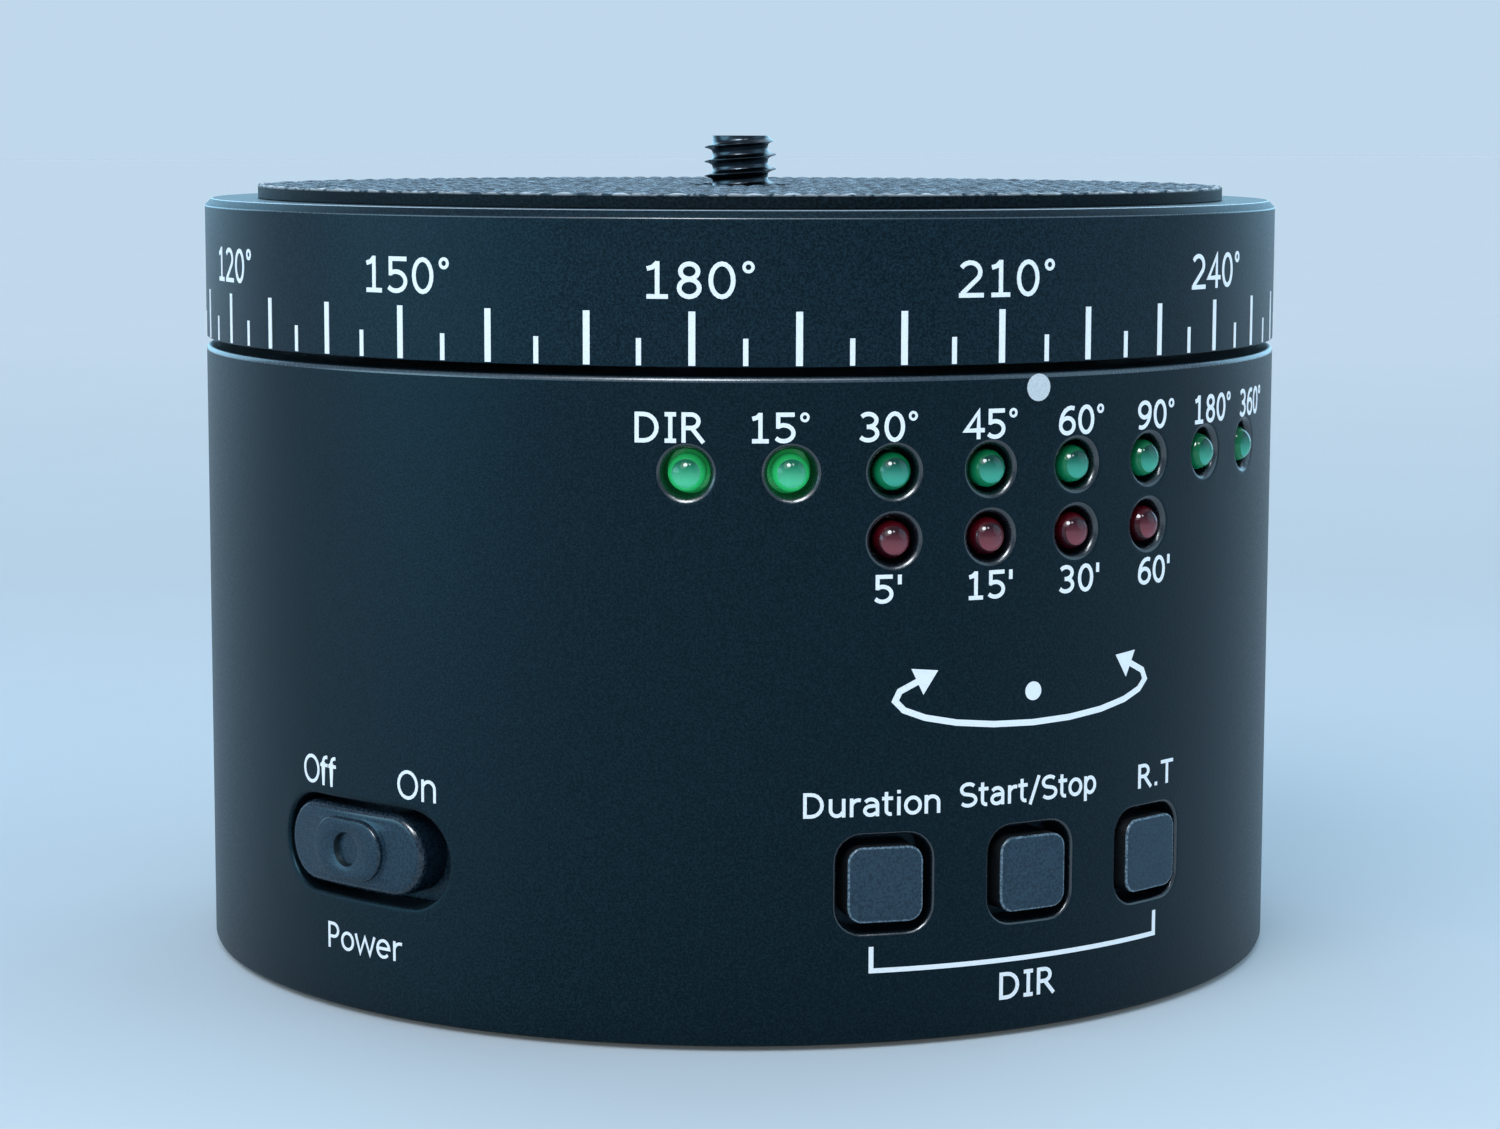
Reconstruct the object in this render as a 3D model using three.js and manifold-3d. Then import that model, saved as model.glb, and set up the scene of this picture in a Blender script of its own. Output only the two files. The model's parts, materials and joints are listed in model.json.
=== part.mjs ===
// A motorised panning head for a camera: a round metal housing with a turning dial on top.
// Millimetres, +Z up. The origin is the centre of the base, on the floor, and -Y is the front,
// where the index dot and the start button are.
import * as THREE from "three";
import { mergeVertices } from "three/addons/utils/BufferGeometryUtils.js";
import Module from "manifold-3d";

const wasm = await Module();
wasm.setup();

const DEG = Math.PI / 180;

// ---- Sizes that drive the rest ----

const BODY_RADIUS = 47;
const WALL = 3;
const INNER_RADIUS = BODY_RADIUS - WALL;
const HOUSING_BOTTOM = 0.35;
const HOUSING_TOP = 52.7;
const DECK = { bottom: 48.8, top: 51.8 };
const DIAL = { bottom: 53.4, underside: 61.3, top: 65.3, skirt: 4, chamfer: 0.6 };
const PAD = { radius: 42.5, hole: 4.6, thickness: 1.15 };
const STUD = { radius: 3.175, pitch: 1.27, depth: 0.62, top: 70.75 };
const GAP = 0.3;

// How many flats stand for a full turn, on the large round pieces, the middling and the small.
const ROUND = { large: 96, middle: 36, small: 12 };

const BASE = { bottom: 1.2, top: 4.2, radius: INNER_RADIUS - GAP };
const BOARD = { bottom: 8, top: 9.5, radius: 38.5, hole: 15 };
const ON_BOARD = BOARD.top + GAP;
const LUG = { radius: 4, hole: 1.75, orbit: 40.3, bottom: 4.5, top: 14, angles: [40, 140, 220, 320] };
const POST = { radius: 2.5, orbit: 26, angles: [90, 210, 330] };

// The gear train: an internal ring gear under the dial, turned by a pinion at the rear.
const GEAR = { module: 1, pressure: 20 * DEG, ringTeeth: 72, pinionTeeth: 16, play: 0.06 };
const PINION_Y = (GEAR.module * (GEAR.ringTeeth - GEAR.pinionTeeth)) / 2;
const SHAFT = { radius: 2, bottom: 43, top: 60.4 };

// The motor stands beside its output shaft and hangs from the deck by two screws.
const MOTOR_Y = PINION_Y + 3.5;
const MOTOR_SCREW = { side: 8.5, hole: 1.8, top: 53.5 };

// The ball bearing that carries the spindle.
const BEARING = { bore: 10, outer: 16, bottom: 44.5, top: 51.5, orbit: 13, ball: 1.75, balls: 12 };
const RACE_GROOVE = BEARING.ball + 0.2;

// The spindle runs through the bearing, and a nut and a washer hold it from below.
const SPINDLE = { radius: BEARING.bore - 0.05, bore: 5.5, bottom: 41, flange: 18.2, top: 61 };
const NUT = { radius: 13.5, bottom: 41.3, top: 43.5 };
const WASHER = { radius: 12.4, bottom: 43.6, top: 44.4 };

// The indicator lights, in two rows round the front.
const LIGHT = { radius: 1.5, hole: 1.85, centre: 46.05, step: 9.8 };
const LIGHT_BOARD = { inner: 30, outer: 42, bottom: 41.85, top: 43.45, halfSpan: 45 };
const LIGHT_ROWS = [
  { name: "angle_led", places: [0, 1, 2, 3, 4, 5, 6, 7], height: 45.3, board: LIGHT_BOARD.top + GAP },
  { name: "time_led", places: [2, 3, 4, 5], height: 40, board: LIGHT_BOARD.bottom - GAP },
];

// The three push buttons and the curved power slider.
const BUTTON = { height: 13.1, opening: 7.7, cap: 6.15, stem: 1.6, face: BODY_RADIUS + 0.3 };
const BUTTONS = [
  { name: "duration", angle: -15.5 },
  { name: "start", angle: 0 },
  { name: "return", angle: 15.5 },
];
const SLIDER = {
  angle: -70.1,
  height: 13.6,
  slot: [18.8, 8],
  knob: [15.9, 6.7],
  grip: [7.7, 4.9],
  flange: [23.6, 10.4],
  turn: 3,
};
const BATTERY = { radius: 9.2, length: 65, y: -6, z: 27 };
const PORT = { width: 9, height: 4.4, corner: 1, middle: 11.4 };

// A cutter for an opening in the wall starts well inside it and ends well outside it.
const WALL_CUT = [INNER_RADIUS - 4, BODY_RADIUS + 3];
// A cutter for a hole in the deck starts below it and ends above it.
const DECK_CUT = [DECK.bottom - 1.8, DECK.top + 1.2];

// ---- Materials ----

function paint(color, roughness, metalness) {
  return new THREE.MeshStandardMaterial({ color, roughness, metalness });
}

const material = {
  anodised: paint(0x1a222c, 0.45, 0.7),
  blackMetal: paint(0x14181d, 0.5, 0.6),
  steel: paint(0x9a9da1, 0.35, 0.9),
  brass: paint(0xb08d4a, 0.4, 0.9),
  rubber: paint(0x1b1d20, 0.9, 0),
  blackPlastic: paint(0x10141a, 0.6, 0),
  nylon: paint(0xd8d4c6, 0.6, 0),
  board: paint(0x14502c, 0.6, 0),
  green: paint(0x1f8f5c, 0.25, 0),
  red: paint(0x6e1420, 0.25, 0),
  wrap: paint(0x2a4fa0, 0.5, 0),
  cable: paint(0x7a7d80, 0.6, 0),
};

// ---- Shapes ----

// Turns a closed geometry into a solid that can be joined and cut.
function solid(geometry) {
  const bare = new THREE.BufferGeometry();
  bare.setAttribute("position", geometry.getAttribute("position"));
  bare.setIndex(geometry.index);
  const merged = mergeVertices(bare, 1e-4);
  const corners = merged.index.array;
  const kept = [];
  for (let i = 0; i < corners.length; i += 3) {
    const [a, b, c] = corners.subarray(i, i + 3);
    if (a !== b && b !== c && c !== a) kept.push(a, b, c);
  }
  const build = (triangles) =>
    new wasm.Manifold(
      new wasm.Mesh({
        numProp: 3,
        vertProperties: merged.attributes.position.array,
        triVerts: new Uint32Array(triangles),
      }),
    );
  const made = build(kept);
  return made.volume() > 0 ? made : build(kept.reverse());
}

// One named mesh from a solid.
function part(name, shape, look) {
  const found = shape.getMesh();
  const geometry = new THREE.BufferGeometry();
  geometry.setAttribute("position", new THREE.BufferAttribute(found.vertProperties, 3));
  geometry.setIndex(new THREE.BufferAttribute(found.triVerts, 1));
  geometry.computeVertexNormals();
  const mesh = new THREE.Mesh(geometry, look);
  mesh.name = name;
  return mesh;
}

function join(...shapes) {
  return shapes.reduce((whole, next) => whole.add(next));
}

function cut(shape, ...tools) {
  return tools.reduce((whole, next) => whole.subtract(next), shape);
}

// A closed outline of [radius, height] points turned about Z. The angle starts at the front.
function revolve(outline, segments = ROUND.middle) {
  const points = [...outline, outline[0]].map(([r, z]) => new THREE.Vector2(r, z));
  const lathe = new THREE.LatheGeometry(points, segments);
  lathe.rotateX(Math.PI / 2);
  return lathe;
}

// A straight cylinder or, with an inner radius, a tube along Z.
function tube(outer, inner, bottom, top, segments = ROUND.middle) {
  const outline = [
    [inner, bottom],
    [outer, bottom],
    [outer, top],
    [inner, top],
  ];
  return revolve(outline, segments);
}

// A flat outline in X and Y raised from one height to another.
function raise(outline, bottom, top, holes = []) {
  const vectors = (points) => points.map(([x, y]) => new THREE.Vector2(x, y));
  const shape = new THREE.Shape(vectors(outline));
  shape.holes = holes.map((hole) => new THREE.Path(vectors(hole)));
  const raised = new THREE.ExtrudeGeometry(shape, { depth: top - bottom, bevelEnabled: false });
  return raised.translate(0, 0, bottom);
}

function block(sizeX, sizeY, bottom, top) {
  const box = new THREE.BoxGeometry(sizeX, sizeY, top - bottom);
  return box.translate(0, 0, (bottom + top) / 2);
}

// The corner arcs of a rectangle with round corners, as one closed outline.
function roundedRectangle(width, height, corner, steps = 3) {
  const points = [];
  for (let quarter = 0; quarter < 4; quarter++) {
    const middle = (quarter + 0.5) * 90 * DEG;
    const x = Math.sign(Math.cos(middle)) * (width / 2 - corner);
    const y = Math.sign(Math.sin(middle)) * (height / 2 - corner);
    for (let step = 0; step <= steps; step++) {
      const angle = (quarter + step / steps) * 90 * DEG;
      points.push([x + corner * Math.cos(angle), y + corner * Math.sin(angle)]);
    }
  }
  return points.filter(([x, y], i) => {
    const [lastX, lastY] = points[(i + points.length - 1) % points.length];
    return Math.hypot(x - lastX, y - lastY) > 1e-6;
  });
}

// Two half circles joined by straight sides, longer along X.
function stadium([length, height], steps = 5) {
  return roundedRectangle(length, height, height / 2, steps);
}

// Where something sits on the round wall: its X runs along the wall, its Y up, its Z outwards.
function onWall(degrees, height) {
  const angle = degrees * DEG;
  const along = new THREE.Vector3(Math.cos(angle), Math.sin(angle), 0);
  const up = new THREE.Vector3(0, 0, 1);
  const outwards = new THREE.Vector3(Math.sin(angle), -Math.cos(angle), 0);
  return new THREE.Matrix4().makeBasis(along, up, outwards).setPosition(0, 0, height);
}

function polar(radius, degrees) {
  return [radius * Math.sin(degrees * DEG), -radius * Math.cos(degrees * DEG)];
}

function moved(geometry, x, y, z = 0) {
  return geometry.clone().translate(x, y, z);
}

// A round wire along a smooth curve through the given points.
function wire(points, radius) {
  const path = new THREE.CatmullRomCurve3(points.map((p) => new THREE.Vector3(...p)));
  const section = new THREE.Shape().absarc(0, 0, radius, 0, 2 * Math.PI);
  return new THREE.ExtrudeGeometry(section, { steps: 9, curveSegments: 4, extrudePath: path });
}

// A screw along +Z: a flat head with its top at z = 0 and a shank below, reaching down.
function capScrew(headRadius, headHeight, shankRadius, length) {
  const outline = [
    [0, -length],
    [shankRadius, -length],
    [shankRadius, -headHeight],
    [headRadius, -headHeight],
    [headRadius, 0],
    [0.55 * headRadius, 0],
    [0.55 * headRadius, -0.5 * headHeight],
    [0, -0.5 * headHeight],
  ];
  return solid(revolve(outline, ROUND.small));
}

// ---- Housing ----

function lightAngle(place) {
  return (place - 3.5) * LIGHT.step;
}

// The wall, the deck across it and the seat that holds the bearing.
function housingShell() {
  const edge = 0.4;
  const rim = INNER_RADIUS - 0.4;
  const seat = { radius: BEARING.outer + 0.1, outer: 19.8, bottom: 43.6 };
  const ledge = { radius: 14.6, top: BEARING.bottom - 0.1 };
  const outline = [
    [BODY_RADIUS - edge, HOUSING_BOTTOM],
    [BODY_RADIUS, HOUSING_BOTTOM + edge],
    [BODY_RADIUS, HOUSING_TOP - edge],
    [BODY_RADIUS - edge, HOUSING_TOP],
    [rim, HOUSING_TOP],
    [rim, DECK.top],
    [seat.radius, DECK.top],
    [seat.radius, ledge.top],
    [ledge.radius, ledge.top],
    [ledge.radius, seat.bottom],
    [seat.outer, seat.bottom],
    [seat.outer, DECK.bottom],
    [INNER_RADIUS, DECK.bottom],
    [INNER_RADIUS, HOUSING_BOTTOM],
  ];
  return solid(revolve(outline, ROUND.large));
}

function lightHole(degrees, height) {
  const hole = tube(LIGHT.hole, 0, ...WALL_CUT, ROUND.small);
  return solid(hole.applyMatrix4(onWall(degrees, height)));
}

// An opening of the given outline through the wall.
function opening(outline, degrees, height) {
  return solid(raise(outline, ...WALL_CUT).applyMatrix4(onWall(degrees, height)));
}

// The two holes of the motor's screws, between two heights.
function motorScrewHoles(bottom, top) {
  const hole = tube(MOTOR_SCREW.hole, 0, bottom, top, ROUND.small);
  return [-1, 1].map((side) => solid(moved(hole, side * MOTOR_SCREW.side, MOTOR_Y)));
}

function housing() {
  let shell = housingShell();
  for (const degrees of LUG.angles) {
    const [x, y] = polar(LUG.orbit, degrees);
    const lug = tube(LUG.radius, 0, LUG.bottom, LUG.top, 16);
    const hole = tube(LUG.hole, 0, LUG.bottom - 1, LUG.top - 2.5, ROUND.small);
    shell = shell.add(solid(moved(lug, x, y))).subtract(solid(moved(hole, x, y)));
  }
  for (const row of LIGHT_ROWS)
    for (const place of row.places)
      shell = shell.subtract(lightHole(lightAngle(place), row.height));
  const square = roundedRectangle(BUTTON.opening, BUTTON.opening, 2);
  for (const { angle } of BUTTONS) shell = shell.subtract(opening(square, angle, BUTTON.height));
  const slot = opening(stadium(SLIDER.slot), SLIDER.angle, SLIDER.height);
  const port = opening(roundedRectangle(PORT.width, PORT.height, PORT.corner), 180, PORT.middle);
  const shaftHole = solid(moved(tube(2 * SHAFT.radius, 0, ...DECK_CUT, 24), 0, PINION_Y));
  return cut(shell, slot, port, shaftHole, ...motorScrewHoles(...DECK_CUT));
}

// ---- Base ----

const BUSH = { radius: 7.8, bore: 4.75, flange: 10.5, bottom: 0.6, seat: 12, top: 13.5 };

function basePlate() {
  const bore = BUSH.radius + GAP;
  const boss = 12;
  const outline = [
    [bore, BASE.bottom],
    [BASE.radius, BASE.bottom],
    [BASE.radius, BASE.top],
    [boss, BASE.top],
    [boss, BUSH.seat],
    [bore, BUSH.seat],
  ];
  let plate = solid(revolve(outline));
  for (const degrees of LUG.angles) {
    const [x, y] = polar(LUG.orbit, degrees);
    const countersink = [
      [0, BASE.bottom - 1],
      [3.1, BASE.bottom - 1],
      [3.1, BASE.bottom],
      [1.8, BASE.bottom + 1.3],
      [1.8, BASE.top + 1],
      [0, BASE.top + 1],
    ];
    plate = plate.subtract(solid(moved(revolve(countersink, ROUND.small), x, y)));
  }
  const post = tube(POST.radius, 0, BASE.top - 1, BOARD.bottom - GAP, ROUND.small);
  for (const degrees of POST.angles) {
    const [x, y] = polar(POST.orbit, degrees);
    plate = plate.add(solid(moved(post, x, y)));
  }
  return plate;
}

function basePad() {
  return solid(tube(36.4, 16, 0, BASE.bottom - 0.1));
}

function tripodBush() {
  const shoulder = BUSH.seat + 0.2;
  const outline = [
    [BUSH.bore, BUSH.bottom],
    [BUSH.radius, BUSH.bottom],
    [BUSH.radius, shoulder],
    [BUSH.flange, shoulder],
    [BUSH.flange, BUSH.top],
    [0, BUSH.top],
    [0, BUSH.seat],
    [BUSH.bore, BUSH.seat],
  ];
  return solid(revolve(outline, 28));
}

// A sleeve with a screwdriver slot across its lower end.
function threadAdapter() {
  const sleeve = solid(tube(4.6, 3.1, 0.9, 11, 28));
  return cut(sleeve, solid(block(12, 1.4, 0, 2)));
}

function baseScrew() {
  const outline = [
    [0, 1.3],
    [2.8, 1.3],
    [1.45, 2.65],
    [1.45, 10.5],
    [0, 10.5],
  ];
  const screw = solid(revolve(outline, ROUND.small));
  return cut(screw, solid(block(3, 0.6, 0, 1.9)));
}

function buildBase(group) {
  group.add(part("base_plate", basePlate(), material.blackMetal));
  group.add(part("base_pad", basePad(), material.rubber));
  group.add(part("tripod_bush", tripodBush(), material.steel));
  group.add(part("thread_adapter", threadAdapter(), material.brass));
  LUG.angles.forEach((degrees, i) => {
    const screw = part(`base_screw_${i + 1}`, baseScrew(), material.steel);
    const [x, y] = polar(LUG.orbit, degrees);
    screw.position.set(x, y, 0);
    group.add(screw);
  });
}

// ---- Motor and gears ----

function involute(angle) {
  return Math.tan(angle) - angle;
}

// The outline of involute teeth, one of them centred on +Y. Play makes each tooth thicker by
// that much on both flanks, or thinner when it is negative.
function gearOutline(teeth, rootRadius, tipRadius, play, flankSteps) {
  const pitchRadius = (teeth * GEAR.module) / 2;
  const baseRadius = pitchRadius * Math.cos(GEAR.pressure);
  const halfAtPitch = Math.PI / (2 * teeth) + play / pitchRadius;
  const flankStart = Math.max(rootRadius, baseRadius);
  const flank = [];
  for (let step = 0; step <= flankSteps; step++) {
    const radius = flankStart + ((tipRadius - flankStart) * step) / flankSteps;
    const slope = involute(Math.acos(baseRadius / radius));
    flank.push([radius, halfAtPitch + involute(GEAR.pressure) - slope]);
  }
  if (rootRadius < flankStart) flank.unshift([rootRadius, flank[0][1]]);
  const points = [];
  for (let tooth = 0; tooth < teeth; tooth++) {
    const middle = Math.PI / 2 + (tooth * 2 * Math.PI) / teeth;
    const rising = flank.map(([r, half]) => [r, middle - half]);
    const falling = flank.map(([r, half]) => [r, middle + half]).reverse();
    for (const [r, angle] of [...rising, ...falling])
      points.push([r * Math.cos(angle), r * Math.sin(angle)]);
  }
  return points;
}

function circle(radius, segments) {
  const points = [];
  for (let i = 0; i < segments; i++) points.push(polar(radius, (i * 360) / segments));
  return points;
}

function ringGear() {
  const pitchRadius = (GEAR.module * GEAR.ringTeeth) / 2;
  const spaces = gearOutline(GEAR.ringTeeth, pitchRadius - 0.75, pitchRadius + 1.25, GEAR.play, 1);
  return solid(raise(circle(DIAL_INNER - GAP, 72), 54.2, 61, [spaces]));
}

function pinion() {
  const pitchRadius = (GEAR.module * GEAR.pinionTeeth) / 2;
  const teeth = gearOutline(GEAR.pinionTeeth, pitchRadius - 1.25, pitchRadius + 1, -GEAR.play, 2);
  return solid(raise(teeth, 54, 60, [circle(2.1, 20)]));
}

function gearhead() {
  const top = DECK.bottom - GAP;
  const body = tube(11, 0, 30.2, top, 32).translate(0, MOTOR_Y, 0);
  const boss = tube(3.6, 0, top - 0.5, 51.4, 20).translate(0, PINION_Y, 0);
  const shaftBore = tube(SHAFT.radius + GAP, 0, SHAFT.bottom - 1, 52, 16).translate(0, PINION_Y, 0);
  return cut(join(solid(body), solid(boss)), solid(shaftBore), ...motorScrewHoles(45, top + 0.5));
}

function motorCan() {
  const outline = [
    [0, 14],
    [4, 14],
    [4, 15],
    [9.2, 15],
    [10, 15.8],
    [10, 29.9],
    [0, 29.9],
  ];
  return solid(revolve(outline, 28));
}

function buildDrive(still, turning) {
  const can = part("motor_can", motorCan(), material.steel);
  can.position.y = MOTOR_Y;
  still.add(can);
  still.add(part("gearhead", gearhead(), material.steel));
  [-1, 1].forEach((side, i) => {
    const screw = part(`motor_screw_${i + 1}`, capScrew(2.6, 1.6, 1.45, 7), material.steel);
    screw.position.set(side * MOTOR_SCREW.side, MOTOR_Y, MOTOR_SCREW.top);
    still.add(screw);
  });
  const rod = solid(tube(SHAFT.radius, 0, SHAFT.bottom, SHAFT.top, 16));
  const shaft = part("output_shaft", rod, material.steel);
  const gear = part("drive_pinion", pinion(), material.brass);
  turning.position.y = PINION_Y;
  turning.add(shaft, gear);
}

// ---- Bearing ----

// One race's outline: its plain radius, its face towards the balls, and the groove in that face.
function raceOutline(plain, face) {
  const outwards = Math.sign(face - BEARING.orbit);
  const middle = (BEARING.bottom + BEARING.top) / 2;
  const reach = Math.acos(Math.abs(face - BEARING.orbit) / RACE_GROOVE);
  const groove = [];
  for (const share of [-1, -0.4, 0.4, 1]) {
    const angle = reach * share;
    const radius = BEARING.orbit + outwards * RACE_GROOVE * Math.cos(angle);
    groove.push([radius, middle + RACE_GROOVE * Math.sin(angle)]);
  }
  return [
    [plain, BEARING.top],
    [plain, BEARING.bottom],
    [face, BEARING.bottom],
    ...groove,
    [face, BEARING.top],
  ];
}

function bearingCage() {
  const middle = (BEARING.bottom + BEARING.top) / 2;
  let cage = solid(tube(BEARING.orbit + 0.8, BEARING.orbit - 0.8, middle - 0.9, middle + 0.9));
  for (let i = 0; i < BEARING.balls; i++) {
    const [x, y] = polar(BEARING.orbit, (i * 360) / BEARING.balls);
    const ball = new THREE.SphereGeometry(BEARING.ball, 6, 4).rotateX(Math.PI / 2);
    cage = cage.add(solid(ball.translate(x, y, middle)));
  }
  return cage;
}

function buildBearing(still, platform, cage) {
  const outer = solid(revolve(raceOutline(BEARING.outer, 14.3)));
  const inner = solid(revolve(raceOutline(BEARING.bore + 0.05, 11.7)));
  still.add(part("bearing_outer_race", outer, material.steel));
  platform.add(part("bearing_inner_race", inner, material.steel));
  cage.add(part("bearing_cage", bearingCage(), material.brass));
}

// ---- Turning platform ----

const DIAL_INNER = BODY_RADIUS - DIAL.skirt;
const DIAL_SCREW = { orbit: 14.8, hole: 1.8, angles: [60, 180, 300] };

function dial() {
  const studHole = 3.5;
  const outline = [
    [DIAL_INNER, DIAL.bottom],
    [BODY_RADIUS - 0.3, DIAL.bottom],
    [BODY_RADIUS, DIAL.bottom + 0.3],
    [BODY_RADIUS, DIAL.top - DIAL.chamfer],
    [BODY_RADIUS - DIAL.chamfer, DIAL.top],
    [studHole, DIAL.top],
    [studHole, DIAL.underside],
    [DIAL_INNER, DIAL.underside],
  ];
  const counterbore = [
    [0, DIAL.underside - 1],
    [DIAL_SCREW.hole, DIAL.underside - 1],
    [DIAL_SCREW.hole, DIAL.top - 2],
    [3, DIAL.top - 2],
    [3, DIAL.top + 1],
    [0, DIAL.top + 1],
  ];
  const holes = DIAL_SCREW.angles.map((degrees) => {
    const [x, y] = polar(DIAL_SCREW.orbit, degrees);
    return solid(moved(revolve(counterbore, ROUND.small), x, y));
  });
  return cut(solid(revolve(outline, ROUND.large)), ...holes);
}

function spindle() {
  const neck = 12.5;
  const flangeBottom = SPINDLE.top - 3.5;
  const outline = [
    [SPINDLE.bore, SPINDLE.bottom],
    [SPINDLE.radius, SPINDLE.bottom],
    [SPINDLE.radius, BEARING.top + 0.1],
    [neck, BEARING.top + 0.1],
    [neck, flangeBottom],
    [SPINDLE.flange, flangeBottom],
    [SPINDLE.flange, SPINDLE.top],
    [SPINDLE.bore, SPINDLE.top],
  ];
  const holes = DIAL_SCREW.angles.map((degrees) => {
    const [x, y] = polar(DIAL_SCREW.orbit, degrees);
    const hole = tube(DIAL_SCREW.hole, 0, flangeBottom - 1, SPINDLE.top + 1, ROUND.small);
    return solid(moved(hole, x, y));
  });
  return cut(solid(revolve(outline)), ...holes);
}

// The camera screw: a head held in the spindle, and a threaded stud that stands out of the pad.
function cameraScrew() {
  const head = { radius: SPINDLE.bore - GAP, bottom: 57, top: SPINDLE.top - 0.1 };
  const root = STUD.radius - STUD.depth;
  const threadBottom = DIAL.top + 0.6;
  const turns = Math.floor((STUD.top - 0.4 - threadBottom) / STUD.pitch);
  const thread = [];
  for (let turn = 0; turn < turns; turn++) {
    const start = threadBottom + turn * STUD.pitch;
    thread.push([STUD.radius, start], [root, start + STUD.pitch / 2]);
  }
  const outline = [
    [0, head.bottom],
    [head.radius, head.bottom],
    [head.radius, head.top],
    [STUD.radius, head.top],
    ...thread,
    [STUD.radius, threadBottom + turns * STUD.pitch],
    [root + 0.1, STUD.top],
    [0, STUD.top],
  ];
  return solid(revolve(outline, 20));
}

// A ring nut with four notches round its rim.
function spindleNut() {
  let nut = solid(tube(NUT.radius, BEARING.bore + 0.1, NUT.bottom, NUT.top));
  for (const degrees of [45, 135, 225, 315]) {
    const [x, y] = polar(NUT.radius, degrees);
    const notch = block(3, 3, NUT.bottom - GAP, NUT.top + GAP).rotateZ(degrees * DEG);
    nut = nut.subtract(solid(notch.translate(x, y, 0)));
  }
  return nut;
}

function buildPlatform(platform) {
  platform.add(part("dial", dial(), material.anodised));
  platform.add(part("ring_gear", ringGear(), material.nylon));
  platform.add(part("spindle", spindle(), material.steel));
  platform.add(part("spindle_nut", spindleNut(), material.steel));
  const washer = solid(tube(WASHER.radius, BEARING.bore + 0.1, WASHER.bottom, WASHER.top));
  platform.add(part("thrust_washer", washer, material.brass));
  platform.add(part("camera_screw", cameraScrew(), material.blackMetal));
  const padBottom = DIAL.top + 0.05;
  const pad = solid(tube(PAD.radius, PAD.hole, padBottom, DIAL.top + PAD.thickness, ROUND.large));
  platform.add(part("top_pad", pad, material.rubber));
  DIAL_SCREW.angles.forEach((degrees, i) => {
    const screw = part(`dial_screw_${i + 1}`, capScrew(2.7, 1.7, 1.5, 7), material.steel);
    const [x, y] = polar(DIAL_SCREW.orbit, degrees);
    screw.position.set(x, y, DIAL.top - 0.1);
    platform.add(screw);
  });
}

// ---- Lights ----

// A domed light along +Z, with a flange behind the wall and two legs bent towards its board.
function light(toBoard) {
  const flange = { radius: 1.9, bottom: 42.4, top: 43.4 };
  const leg = { side: 0.9, width: 0.5, end: 39.8 };
  const steps = 3;
  const dome = [];
  for (let step = 0; step <= steps; step++) {
    const angle = (step * 90 * DEG) / steps;
    dome.push([LIGHT.radius * Math.cos(angle), LIGHT.centre + LIGHT.radius * Math.sin(angle)]);
  }
  const outline = [
    [0, flange.bottom],
    [flange.radius, flange.bottom],
    [flange.radius, flange.top],
    [LIGHT.radius, flange.top],
    ...dome,
  ];
  const legs = [-leg.side, leg.side].map((x) => {
    const back = block(leg.width, leg.width, leg.end, flange.bottom + 0.2);
    const half = leg.width / 2;
    const down = new THREE.BoxGeometry(leg.width, Math.abs(toBoard) + half, leg.width);
    down.translate(0, (toBoard + half * Math.sign(toBoard)) / 2, leg.end + half);
    return join(solid(moved(back, x, 0)), solid(moved(down, x, 0)));
  });
  return join(solid(revolve(outline, 8)), ...legs);
}

function buildLights(group) {
  const looks = { angle_led: material.green, time_led: material.red };
  for (const row of LIGHT_ROWS) {
    const shape = light(row.board - row.height);
    row.places.forEach((place, i) => {
      const mesh = part(`${row.name}_${i + 1}`, shape, looks[row.name]);
      mesh.applyMatrix4(onWall(lightAngle(place), row.height));
      group.add(mesh);
    });
  }
  const half = LIGHT_BOARD.halfSpan;
  const arc = (radius, from, to) => {
    const steps = 12;
    return [...Array(steps + 1).keys()].map((i) => polar(radius, from + ((to - from) * i) / steps));
  };
  const outline = [...arc(LIGHT_BOARD.outer, -half, half), ...arc(LIGHT_BOARD.inner, half, -half)];
  const board = solid(raise(outline, LIGHT_BOARD.bottom, LIGHT_BOARD.top));
  group.add(part("led_board", board, material.board));
}

// ---- Buttons ----

// The cap along +Z: a square face with a step round it, a flange behind the wall and a stem.
function buttonCap() {
  const faceEdge = BUTTON.face - 0.35;
  const body = raise(roundedRectangle(BUTTON.cap, BUTTON.cap, 1.3), 43.2, faceEdge);
  const top = raise(roundedRectangle(BUTTON.cap - 0.5, BUTTON.cap - 0.5, 1.1), 46, BUTTON.face);
  const flange = block(9, 9, 42.6, 43.4);
  const stem = tube(BUTTON.stem, 0, 40.9, 43, ROUND.small);
  return join(solid(body), solid(top), solid(flange), solid(stem));
}

function buttonSwitch() {
  const below = BUTTON.height - ON_BOARD;
  const shell = new THREE.BoxGeometry(6.2, 2 * below, 4).translate(0, 0, 36.5);
  return cut(solid(shell), solid(tube(BUTTON.stem + GAP, 0, 36, 39, ROUND.small)));
}

function buildButtons(still) {
  return BUTTONS.map(({ name, angle }) => {
    const place = onWall(angle, BUTTON.height);
    const moving = new THREE.Group();
    moving.applyMatrix4(place);
    moving.add(part(`${name}_cap`, buttonCap(), material.blackPlastic));
    const plunger = solid(tube(BUTTON.stem, 0, 36.6, 40.6, 8));
    moving.add(part(`${name}_plunger`, plunger, material.nylon));
    const body = part(`${name}_switch`, buttonSwitch(), material.blackPlastic);
    body.applyMatrix4(place);
    still.add(body);
    return moving;
  });
}

// ---- Power slider ----

// A curved plate: the given outline, carried outwards, kept between two radii.
function curvedPlate(outline, inner, outer, height) {
  const band = solid(tube(outer, inner, height - 8, height + 8, ROUND.large));
  const angle = SLIDER.angle - SLIDER.turn / 2;
  return band.intersect(opening(outline, angle, height));
}

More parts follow.
